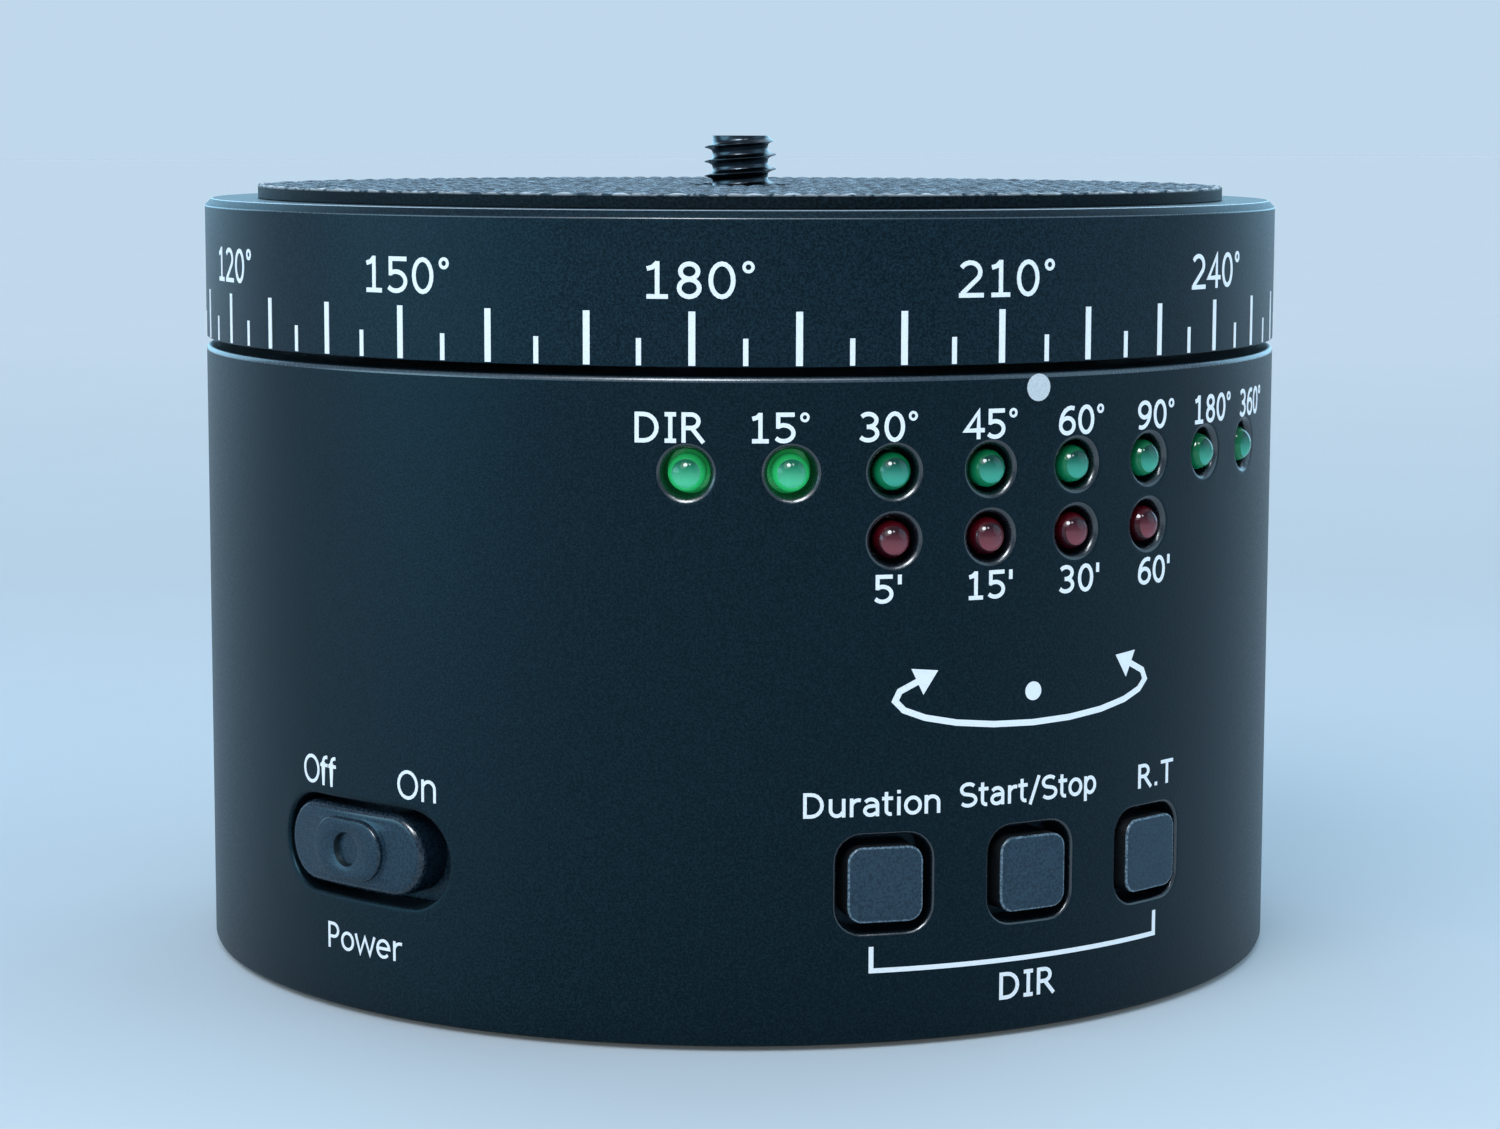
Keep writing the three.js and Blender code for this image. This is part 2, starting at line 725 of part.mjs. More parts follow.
function powerKnob() {
  const plate = curvedPlate(stadium(SLIDER.knob), 43, BODY_RADIUS - 0.1, SLIDER.height);
  const grip = curvedPlate(stadium(SLIDER.grip), 46, BODY_RADIUS + 0.45, SLIDER.height);
  const flange = curvedPlate(stadium(SLIDER.flange), 42.7, 43.6, SLIDER.height);
  const fork = [-1, 1].map((side) => {
    const rib = moved(block(1, 5, 40.9, 43.3), side * 2.1, 0);
    const angle = SLIDER.angle - SLIDER.turn / 2;
    return solid(rib.applyMatrix4(onWall(angle, SLIDER.height)));
  });
  return join(plate, grip, flange, ...fork);
}

function slideSwitchBody() {
  const top = 17.4;
  const middle = (ON_BOARD + top) / 2 - SLIDER.height;
  const shell = new THREE.BoxGeometry(12, top - ON_BOARD, 3.6).translate(0, middle, 38.8);
  return cut(solid(shell), solid(block(6, 3.4, 39, 41)));
}

function buildPowerSwitch(still, knob, lever) {
  const place = onWall(SLIDER.angle, SLIDER.height);
  const body = part("slide_switch", slideSwitchBody(), material.steel);
  body.applyMatrix4(place);
  still.add(body);
  knob.add(part("power_knob", powerKnob(), material.blackPlastic));
  const offset = -41.5 * Math.sin((SLIDER.turn / 2) * DEG);
  const stub = solid(moved(block(2.4, 2.6, 39.4, 42.4), offset, 0));
  const slider = part("switch_lever", stub, material.nylon);
  slider.applyMatrix4(place);
  lever.add(slider);
}

// ---- Boards, battery, socket and cables ----

function controlBoard() {
  let board = solid(tube(BOARD.radius, BOARD.hole, BOARD.bottom, BOARD.top));
  for (const degrees of LUG.angles) {
    const [x, y] = polar(LUG.orbit, degrees);
    const notch = tube(LUG.radius + 0.4, 0, BOARD.bottom - 1, BOARD.top + 1, 16);
    board = board.subtract(solid(moved(notch, x, y)));
  }
  return board;
}

function batteryCradle() {
  const { y, z } = BATTERY;
  const bottom = 14.2;
  const trough = new THREE.BoxGeometry(60, 22, z - bottom).translate(0, y, (z + bottom) / 2);
  const bed = tube(BATTERY.radius + GAP, 0, -40, 40, 32).rotateY(Math.PI / 2).translate(0, y, z);
  const legs = [-1, 1].flatMap((sideX) =>
    [-1, 1].map((sideY) => solid(moved(block(5, 5, ON_BOARD, 15), sideX * 26, y + sideY * 8))),
  );
  return join(cut(solid(trough), solid(bed)), ...legs);
}

function batteryCell() {
  const half = BATTERY.length / 2;
  const outline = [
    [0, -half],
    [BATTERY.radius - 0.6, -half],
    [BATTERY.radius, 0.6 - half],
    [BATTERY.radius, half - 2.2],
    [BATTERY.radius - 0.6, half - 1.6],
    [3.2, half - 1.6],
    [3.2, half],
    [0, half],
  ];
  return solid(revolve(outline, 28).rotateY(Math.PI / 2).translate(0, BATTERY.y, BATTERY.z));
}

// The socket along +Z: a thin shell round a tongue, open outwards.
function chargingSocket() {
  const shell = raise(roundedRectangle(7.6, 3.2, 0.8, 3), 38, 46.2);
  const hollow = raise(roundedRectangle(6.9, 2.5, 0.6, 3), 39.5, 47);
  const tongue = block(4.4, 0.7, 39, 45.2);
  return join(cut(solid(shell), solid(hollow)), solid(tongue));
}

function ribbon() {
  const angle = 30;
  const at = (radius, height) => new THREE.Vector3(...polar(radius, angle), height);
  const path = new THREE.CatmullRomCurve3([
    at(34, ON_BOARD),
    at(33, 18),
    at(32.4, 26),
    at(33, 34),
    at(34, LIGHT_BOARD.bottom - GAP),
  ]);
  const section = new THREE.Shape(
    roundedRectangle(5.6, 0.9, 0.4, 2).map(([x, y]) => new THREE.Vector2(x, y)),
  );
  return solid(new THREE.ExtrudeGeometry(section, { steps: 8, extrudePath: path }));
}

function buildInside(group) {
  group.add(part("control_board", controlBoard(), material.board));
  group.add(part("battery_cradle", batteryCradle(), material.blackPlastic));
  group.add(part("battery_cell", batteryCell(), material.wrap));
  const socket = part("charging_socket", chargingSocket(), material.steel);
  socket.applyMatrix4(onWall(180, PORT.middle));
  group.add(socket);
  group.add(part("board_cable", ribbon(), material.cable));
  const motorLead = [
    [5, 27, 13.6],
    [6.5, 25.5, 12.9],
    [8.5, 24, 11.6],
    [9.6, 23.4, 9.9],
  ];
  const batteryLead = [
    [33, -6, 27],
    [35.6, -6, 25.4],
    [36.2, -6, 19],
    [35.6, -6, 9.9],
  ];
  group.add(part("motor_lead", solid(wire(motorLead, 0.8)), material.cable));
  group.add(part("battery_lead", solid(wire(batteryLead, 0.9)), material.cable));
}

// ---- The whole object ----

function build() {
  const head = new THREE.Group();
  const still = new THREE.Group();
  const platform = new THREE.Group();
  const cage = new THREE.Group();
  const drive = new THREE.Group();
  const knob = new THREE.Group();
  const lever = new THREE.Group();
  still.add(part("housing", housing(), material.anodised));
  buildBase(still);
  buildDrive(still, drive);
  buildBearing(still, platform, cage);
  buildPlatform(platform);
  buildLights(still);
  const buttons = buildButtons(still);
  buildPowerSwitch(still, knob, lever);
  buildInside(still);
  head.add(still, platform, cage, drive, knob, lever, ...buttons);
  return head;
}

export default build();
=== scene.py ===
"""Looks of the motorised panning head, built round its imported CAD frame.

Shapes are worked out in millimetres and turned into metres when a mesh is made. Everything on
the round wall is placed by wall coordinates: the arc length u from the front, positive to the
right, the height z, and the radius r.
"""

import json
import math
from collections import Counter

import bmesh
import bpy
from mathutils import Matrix, Vector
from mathutils.geometry import delaunay_2d_cdt


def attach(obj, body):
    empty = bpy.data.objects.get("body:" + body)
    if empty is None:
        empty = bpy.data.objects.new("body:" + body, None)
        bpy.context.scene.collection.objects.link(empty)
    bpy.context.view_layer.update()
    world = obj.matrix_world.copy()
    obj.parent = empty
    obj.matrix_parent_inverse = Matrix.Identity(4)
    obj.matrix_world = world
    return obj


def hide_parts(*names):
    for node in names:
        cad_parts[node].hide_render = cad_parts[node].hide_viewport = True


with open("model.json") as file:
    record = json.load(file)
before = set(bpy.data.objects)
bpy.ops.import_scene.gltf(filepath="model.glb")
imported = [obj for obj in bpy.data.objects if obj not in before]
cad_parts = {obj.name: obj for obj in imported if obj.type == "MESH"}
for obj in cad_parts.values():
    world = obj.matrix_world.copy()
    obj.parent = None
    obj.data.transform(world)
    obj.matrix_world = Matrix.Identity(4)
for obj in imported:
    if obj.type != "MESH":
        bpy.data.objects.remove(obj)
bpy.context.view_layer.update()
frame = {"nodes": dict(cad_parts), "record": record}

MM = 0.001

# ---- Sizes shared by several pieces, in millimetres ----

BODY_R = 47.0
WALL_R = 44.0
HOUSING_BOTTOM, HOUSING_TOP = 0.35, 52.7
DECK_BOTTOM, DECK_TOP = 48.8, 51.8
DIAL_BOTTOM, DIAL_INSIDE, DIAL_TOP = 53.4, 61.3, 65.3
PAD_R, PAD_HOLE, PAD_TOP = 42.4, 4.6, 66.5
STUD_TOP = 70.75
COLUMNS = 144
PINION_Y, MOTOR_Y = 28.0, 31.5
LUG_ORBIT, LUG_ANGLES = 40.3, (40, 140, 220, 320)

LIGHT_STEP = 9.86
ANGLE_LIGHTS = [(i + 1, (i - 3.5) * LIGHT_STEP) for i in range(8)]
TIME_LIGHTS = [(i + 1, (i - 1.5) * LIGHT_STEP) for i in range(4)]
ANGLE_Z, TIME_Z = 45.3, 40.0
LABEL_STEP, LABEL_SHIFT = 10.4, 0.3
BUTTON_Z = 13.1
BUTTONS = {"duration": -15.5, "start": 0.0, "return": 15.5}
SLOT_ANGLE, KNOB_ANGLE, SLOT_Z = -70.1, -71.6, 13.6
PORT_Z = 11.4
LIT_LIGHTS = (1, 2)

# The camera stands this many degrees left of the front.
CAMERA_TURN = math.radians(-29.5)
TO_CAMERA = Vector((math.sin(CAMERA_TURN), -math.cos(CAMERA_TURN), 0))
TO_RIGHT = Vector((-TO_CAMERA.y, TO_CAMERA.x, 0))


# ---- Camera ----


def place_camera():
    """The photograph's view: left of the front, a little above the dial."""
    distance, height, lens = 317.07, 71.97, 85.29
    pitch, yaw, roll = 0.12397, 0.00302, 0.0026
    forward = Vector(
        (math.sin(yaw) * math.cos(pitch), math.cos(yaw) * math.cos(pitch), -math.sin(pitch))
    )
    level = Vector((math.cos(yaw), -math.sin(yaw), 0))
    above = level.cross(forward)
    right = math.cos(roll) * level + math.sin(roll) * above
    up = -math.sin(roll) * level + math.cos(roll) * above
    axes = Matrix((right, up, -forward)).transposed().to_4x4()
    camera = bpy.data.objects.new("camera", bpy.data.cameras.new("camera"))
    bpy.context.scene.collection.objects.link(camera)
    camera.data.lens = lens
    camera.data.clip_start = 0.01
    spin = Matrix.Rotation(CAMERA_TURN, 4, "Z")
    camera.matrix_world = spin @ Matrix.Translation((0, -distance * MM, height * MM)) @ axes
    bpy.context.scene.camera = camera


place_camera()


# ---- Mesh helpers ----


def on_wall(u, z, r):
    """A point in wall coordinates, as x, y, z."""
    angle = u / BODY_R
    return (r * math.sin(angle), -r * math.cos(angle), z)


def arc_length(degrees):
    return math.radians(degrees) * BODY_R


def polar(radius, degrees):
    """A point x, y at an angle from the front, positive to the right."""
    angle = math.radians(degrees)
    return (radius * math.sin(angle), -radius * math.cos(angle))


def facing(degrees, z):
    """Maps local (x, y, out) to space: x along the wall, y up, out from the head's axis."""
    angle = math.radians(degrees)
    sine, cosine = math.sin(angle), math.cos(angle)

    def to_space(x, y, out):
        return (out * sine + x * cosine, -out * cosine + x * sine, z + y)

    return to_space


def make_object(name, points, faces, body, material, smooth_below=40):
    """A mesh object from points in millimetres, with its doubles merged and its faces outwards."""
    mesh = bpy.data.meshes.new(name)
    mesh.from_pydata([[c * MM for c in p] for p in points], [], faces)
    work = bmesh.new()
    work.from_mesh(mesh)
    bmesh.ops.remove_doubles(work, verts=work.verts, dist=2e-7)
    bmesh.ops.dissolve_degenerate(work, edges=work.edges, dist=1e-7)
    bmesh.ops.recalc_face_normals(work, faces=work.faces)
    work.to_mesh(mesh)
    work.free()
    for face in mesh.polygons:
        face.use_smooth = True
    mesh.set_sharp_from_angle(angle=math.radians(smooth_below))
    obj = bpy.data.objects.new(name, mesh)
    bpy.context.scene.collection.objects.link(obj)
    obj.data.materials.append(material)
    weighted = obj.modifiers.new("normals", "WEIGHTED_NORMAL")
    weighted.keep_sharp = True
    weighted.weight = 80
    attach(obj, body)
    return obj


def from_axis(point):
    """Distance from the head's axis."""
    return math.hypot(point.x, point.y)


def paint_faces(obj, material, chosen):
    """Gives the material to the faces whose centre, in millimetres, is chosen."""
    obj.data.materials.append(material)
    index = len(obj.data.materials) - 1
    for face in obj.data.polygons:
        if chosen(face.center / MM):
            face.material_index = index


class Build:
    """Points and faces of one mesh, gathered shape by shape."""

    def __init__(self):
        self.points = []
        self.faces = []

    def add(self, points, faces):
        start = len(self.points)
        self.points.extend(points)
        self.faces.extend([tuple(start + i for i in face) for face in faces])

    def loft(self, loops, closed_ends=True, ring=False):
        """Skin between loops of the same number of points. With ring, the last joins the first."""
        count = len(loops[0])
        faces = []
        pairs = len(loops) if ring else len(loops) - 1
        for k in range(pairs):
            a, b = k * count, ((k + 1) % len(loops)) * count
            for i in range(count):
                j = (i + 1) % count
                faces.append((a + i, a + j, b + j, b + i))
        if closed_ends and not ring:
            faces.append(tuple(range(count))[::-1])
            faces.append(tuple((len(loops) - 1) * count + i for i in range(count)))
        self.add([p for loop in loops for p in loop], faces)

    def revolve(self, outline, columns=COLUMNS, centre=(0.0, 0.0), closed=True):
        """The outline, (radius, height) points, turned about a vertical axis."""
        loops = [circle_at(r, z, columns, centre) for r, z in outline]
        self.loft(loops, closed_ends=False, ring=closed)

    def object(self, name, body, material, smooth_below=40):
        return make_object(name, self.points, self.faces, body, material, smooth_below)


def circle_at(radius, z, columns=COLUMNS, centre=(0.0, 0.0)):
    cx, cy = centre
    turn = 2 * math.pi / columns
    return [
        (cx + radius * math.sin(i * turn), cy - radius * math.cos(i * turn), z)
        for i in range(columns)
    ]


def round_loop(width, height, corner, count=48):
    """Points round a rectangle with round corners, spread evenly by arc length, anticlockwise
    from the middle of the right side. Each stretch is a straight side and the corner after it."""
    hx, hy = width / 2 - corner, height / 2 - corner
    quarter = corner * math.pi / 2
    stretches = [(hx, hy, hy), (-hx, hy, 2 * hx), (-hx, -hy, 2 * hy), (hx, -hy, 2 * hx), (hx, 0, hy)]
    points = []
    for i in range(count):
        s = 4 * (hx + hy + quarter) * i / count
        k = 0
        while k < 4 and s > stretches[k][2] + quarter:
            s -= stretches[k][2] + quarter
            k += 1
        x, y, straight = stretches[k]
        start = math.pi / 2 * k
        back = max(straight - s, 0)
        angle = start + max(s - straight, 0) / corner
        x += corner * math.cos(angle) + back * math.sin(start)
        y += corner * math.sin(angle) - back * math.cos(start)
        points.append((x, y))
    return points


def grown(size, amount):
    """A round rectangle (width, height, corner) with its edge moved outwards."""
    width, height, corner = size
    return (width + 2 * amount, height + 2 * amount, max(corner + amount, 0.05))


def wall_loop(size, u, z, r, count=48):
    return [on_wall(u + x, z + y, r) for x, y in round_loop(*size, count)]


def stacked_loops(to_space, steps, count):
    """Loops of round rectangles from (size, out) pairs."""
    return [[to_space(x, y, out) for x, y in round_loop(*size, count)] for size, out in steps]


def plate(size, back, front, chamfer=0.1):
    """(size, out) pairs round a plate with chamfered edges."""
    face = grown(size, -chamfer)
    return [(face, back), (size, back + chamfer), (size, front - chamfer), (face, front)]


def triangulate(outlines, holes, extra_points):
    """Triangles that fill the outlines and leave the holes out, with extra points inside."""
    points, edges = [], []
    for loop in outlines + holes:
        start = len(points)
        points.extend(loop)
        count = len(loop)
        edges.extend((start + i, start + (i + 1) % count) for i in range(count))
    points.extend(extra_points)
    made = delaunay_2d_cdt([Vector(p) for p in points], edges, [], 1, 1e-7)
    return made[0], made[2]


def inside(point, loop):
    """Whether a point lies inside a closed loop."""
    x, y = point
    odd = False
    for i in range(len(loop)):
        (x0, y0), (x1, y1) = loop[i - 1], loop[i]
        if (y0 > y) != (y1 > y) and x < (x1 - x0) * (y - y0) / (y1 - y0) + x0:
            odd = not odd
    return odd


def sheet(build, outline, holes, extra_points, to_space):
    """A flat or wrapped sheet with holes, added to a mesh through to_space(x, y)."""
    points, faces = triangulate([outline], holes, extra_points)
    boxes = [loop_box(hole) for hole in holes]
    kept = []
    for face in faces:
        x = sum(points[i].x for i in face) / len(face)
        y = sum(points[i].y for i in face) / len(face)
        near = [h for h, (x0, x1, y0, y1) in zip(holes, boxes) if x0 < x < x1 and y0 < y < y1]
        if not any(inside((x, y), hole) for hole in near):
            kept.append(face)
    build.add([to_space(*p) for p in points], kept)


def loop_box(loop):
    xs, ys = [p[0] for p in loop], [p[1] for p in loop]
    return min(xs), max(xs), min(ys), max(ys)


# ---- Materials ----


class Nodes:
    """A material's node tree, with short calls for the nodes used here."""

    def __init__(self, name):
        self.material = bpy.data.materials.new(name)
        self.material.use_nodes = True
        self.tree = self.material.node_tree
        self.shader = self.tree.nodes["Principled BSDF"]
        self.coords = self.tree.nodes.new("ShaderNodeTexCoord").outputs["Object"]

    def node(self, kind, **settings):
        made = self.tree.nodes.new(kind)
        for key, value in settings.items():
            if key in made.inputs:
                made.inputs[key].default_value = value
            else:
                setattr(made, key, value)
        return made

    def link(self, output, target):
        self.tree.links.new(output, target)

    def noise(self, per_mm, detail=3.0, roughness=0.6, stretch=None):
        """Noise with about that many features for each millimetre."""
        made = self.node("ShaderNodeTexNoise", Scale=per_mm * 1000, Detail=detail)
        made.inputs["Roughness"].default_value = roughness
        source = self.coords
        if stretch:
            mapping = self.node("ShaderNodeMapping")
            mapping.inputs["Scale"].default_value = stretch
            self.link(source, mapping.inputs["Vector"])
            source = mapping.outputs["Vector"]
        self.link(source, made.inputs["Vector"])
        return made.outputs["Fac"]

    def ramp(self, value, stops):
        """Maps a value through (position, colour) stops."""
        made = self.node("ShaderNodeValToRGB")
        elements = made.color_ramp.elements
        while len(elements) < len(stops):
            elements.new(0.5)
        for element, (position, colour) in zip(elements, stops):
            element.position = position
            element.color = (*colour, 1.0)
        self.link(value, made.inputs["Fac"])
        return made.outputs["Color"]

    def range(self, value, low, high, from_low=0.3, from_high=0.7):
        """Maps from_low..from_high of a value to low..high, and holds it beyond them."""
        made = self.node("ShaderNodeMapRange")
        for share, source, target in (("Min", from_low, low), ("Max", from_high, high)):
            made.inputs["From " + share].default_value = source
            made.inputs["To " + share].default_value = target
        self.link(value, made.inputs["Value"])
        return made.outputs["Result"]

    def mix(self, share, first, second):
        """Mixes two colours, each a colour or a socket, by a share that is a socket."""
        made = self.node("ShaderNodeMix", data_type="RGBA")
        self.link(share, made.inputs["Factor"])
        for socket, value in ((made.inputs["A"], first), (made.inputs["B"], second)):
            self.set(socket, value)
        return made.outputs["Result"]

    def set(self, socket, value):
        if isinstance(value, bpy.types.NodeSocket):
            self.link(value, socket)
        elif isinstance(value, tuple) and len(value) == 3:
            socket.default_value = (*value, 1.0)
        else:
            socket.default_value = value

    def height(self):
        """Height above the floor, in metres."""
        parts = self.node("ShaderNodeSeparateXYZ")
        self.link(self.coords, parts.inputs[0])
        return parts.outputs["Z"]

    def from_axis(self):
        """Distance from the head's axis, in metres."""
        level = self.node("ShaderNodeVectorMath", operation="MULTIPLY")
        self.link(self.coords, level.inputs[0])
        level.inputs[1].default_value = (1.0, 1.0, 0.0)
        reach = self.node("ShaderNodeVectorMath", operation="LENGTH")
        self.link(level.outputs[0], reach.inputs[0])
        return reach.outputs["Value"]

    def bump(self, height, distance_mm, strength=1.0):
        made = self.node("ShaderNodeBump")
        made.inputs["Strength"].default_value = strength
        made.inputs["Distance"].default_value = distance_mm * MM
        self.link(height, made.inputs["Height"])
        self.link(made.outputs["Normal"], self.shader.inputs["Normal"])

    def finish(self, colour, roughness, metallic=0.0, **sockets):
        self.set(self.shader.inputs["Base Color"], colour)
        self.set(self.shader.inputs["Roughness"], roughness)
        self.shader.inputs["Metallic"].default_value = metallic
        for key, value in sockets.items():
            self.set(self.shader.inputs[key.replace("_", " ")], value)
        return self.material

    def glow(self, colour, strength):
        self.link(colour, self.shader.inputs["Emission Color"])
        self.shader.inputs["Emission Strength"].default_value = strength


def anodised_metal(name, dark=(0.0003, 0.001, 0.0017), light=(0.0055, 0.0125, 0.0175)):
    """Bead-blasted, black anodised aluminium with a blue cast and a fine grain."""
    n = Nodes(name)
    grain = n.noise(5.5, detail=2.0)
    clouds = n.noise(0.09, detail=3.0)
    colour = n.mix(n.range(grain, 0, 1, 0.4, 0.66), dark, light)
    colour = n.mix(n.range(clouds, 0, 0.12), colour, light)
    n.bump(grain, 0.02, 0.8)
    sheen = {"Specular_IOR_Level": 0.25, "Specular_Tint": (0.36, 0.78, 1.0)}
    return n.finish(colour, n.range(grain, 0.34, 0.48), 0.0, **sheen)


def machined_edge(name, dark, light, roughness=(0.2, 0.34), specular=0.5):
    """A smoother band along an edge, mixed from dark to light by fine scratches. Where it is given colours
    lighter than its part's, they are a painted highlight on the edge.
    """
    n = Nodes(name)
    scratches = n.noise(4.0, detail=2.0)
    n.bump(scratches, 0.01, 0.4)
    colour = n.mix(scratches, dark, light)
    return n.finish(colour, n.range(scratches, *roughness), 0.0, Specular_IOR_Level=specular)


BLUE_SHEEN = (0.6, 0.86, 1.0)


def moulded_plastic(name, dark, light, roughness=(0.42, 0.55), depth=0.015, tint=(1.0, 1.0, 1.0)):
    """Moulded plastic with a fine spark-eroded texture."""
    n = Nodes(name)
    texture = n.noise(5.0, detail=2.0)
    n.bump(texture, depth, 0.7)
    colour = n.mix(n.range(texture, 0, 1, 0.4, 0.6), dark, light)
    return n.finish(colour, n.range(texture, *roughness), Specular_Tint=tint)


def rubber(name, dark, light):
    n = Nodes(name)
    speckle = n.noise(4.0, detail=4.0, roughness=0.7)
    n.bump(speckle, 0.05, 0.9)
    colour = n.mix(n.range(speckle, 0, 1, 0.4, 0.62), dark, light)
    return n.finish(colour, n.range(speckle, 0.34, 0.6))


def scaled_rubber(name, top):
    """Black speckled rubber. The tops of its scales are paler in patches, and paler still at its rim: a
    painted highlight.
    """
    n = Nodes(name)
    speckle = n.noise(4.5, detail=4.0, roughness=0.7)
    patches = n.noise(0.8, detail=2.0)
    crest_highlight_mask = n.range(n.height(), 0, 1, (top - 0.27) * MM, (top - 0.02) * MM)
    deep = n.mix(n.range(speckle, 0, 1, 0.45, 0.7), (0.0006, 0.0018, 0.0028), (0.013, 0.027, 0.038))
    crest_highlight = n.mix(n.range(speckle, 0, 1, 0.42, 0.62), (0.03, 0.05, 0.07), (0.62, 0.78, 0.9))
    crest_highlight = n.mix(n.range(patches, 0, 1, 0.42, 0.56), (0.012, 0.022, 0.03), crest_highlight)
    edge = n.mix(n.range(patches, 0, 1, 0.42, 0.5), (0.12, 0.18, 0.22), (1.0, 1.0, 1.0))
    # At the rim the crests are paler still: a painted highlight along the pad's edge.
    rim = n.range(n.from_axis(), 0, 1, (PAD_R - 0.7) * MM, (PAD_R - 0.4) * MM)
    crest_highlight = n.mix(rim, crest_highlight, edge)
    n.bump(speckle, 0.05, 0.9)
    sheen = {"Specular_IOR_Level": 0.16, "Specular_Tint": BLUE_SHEEN}
    return n.finish(n.mix(crest_highlight_mask, deep, crest_highlight), n.range(speckle, 0.4, 0.65), 0.0, **sheen)


def turned_metal(name, dark, light, roughness=(0.22, 0.42)):
    """Turned metal: fine rings round the axis and a little soiling."""
    n = Nodes(name)
    rings = n.noise(5.0, detail=2.0, stretch=(0.05, 0.05, 1.0))
    clouds = n.noise(0.4, detail=3.0)
    n.bump(rings, 0.006, 0.5)
    return n.finish(n.mix(clouds, dark, light), n.range(rings, *roughness), 1.0)


def printed_ink(name, colour, faded, glow):
    """Screen-printed ink with a slightly uneven cover. Its glow is painted light that makes it brighter than
    the lamps do.
    """
    n = Nodes(name)
    cover = n.noise(6.0, detail=3.0)
    n.bump(cover, 0.006, 0.5)
    paint = n.mix(n.range(cover, 0, 1, 0.4, 0.75), colour, faded)
    n.glow(paint, glow)
    return n.finish(paint, 0.55)


def lens_material(name, z, upper, lower, glow=0.0):
    """Tinted resin of a light at height z, whose tint changes from below to above: painted shade and painted
    reflection across the dome. If lit, it glows a little."""
    n = Nodes(name)
    flow = n.noise(1.2, detail=2.0)
    rise = n.range(n.height(), 0, 1, (z - 0.7) * MM, (z + 0.75) * MM)
    tint = n.mix(rise, lower, upper)
    n.bump(flow, 0.004, 0.3)
    n.finish(tint, n.range(flow, 0.03, 0.07), 0.0, Specular_IOR_Level=0.4)
    if glow:
        n.glow(tint, glow)
    return n.material


def circuit_board(name):
    n = Nodes(name)
    traces = n.noise(0.8, detail=1.0)
    colour = n.mix(n.range(traces, 0, 1, 0.49, 0.53), (0.008, 0.06, 0.024), (0.02, 0.13, 0.05))
    n.bump(traces, 0.02, 0.4)
    return n.finish(colour, 0.35)


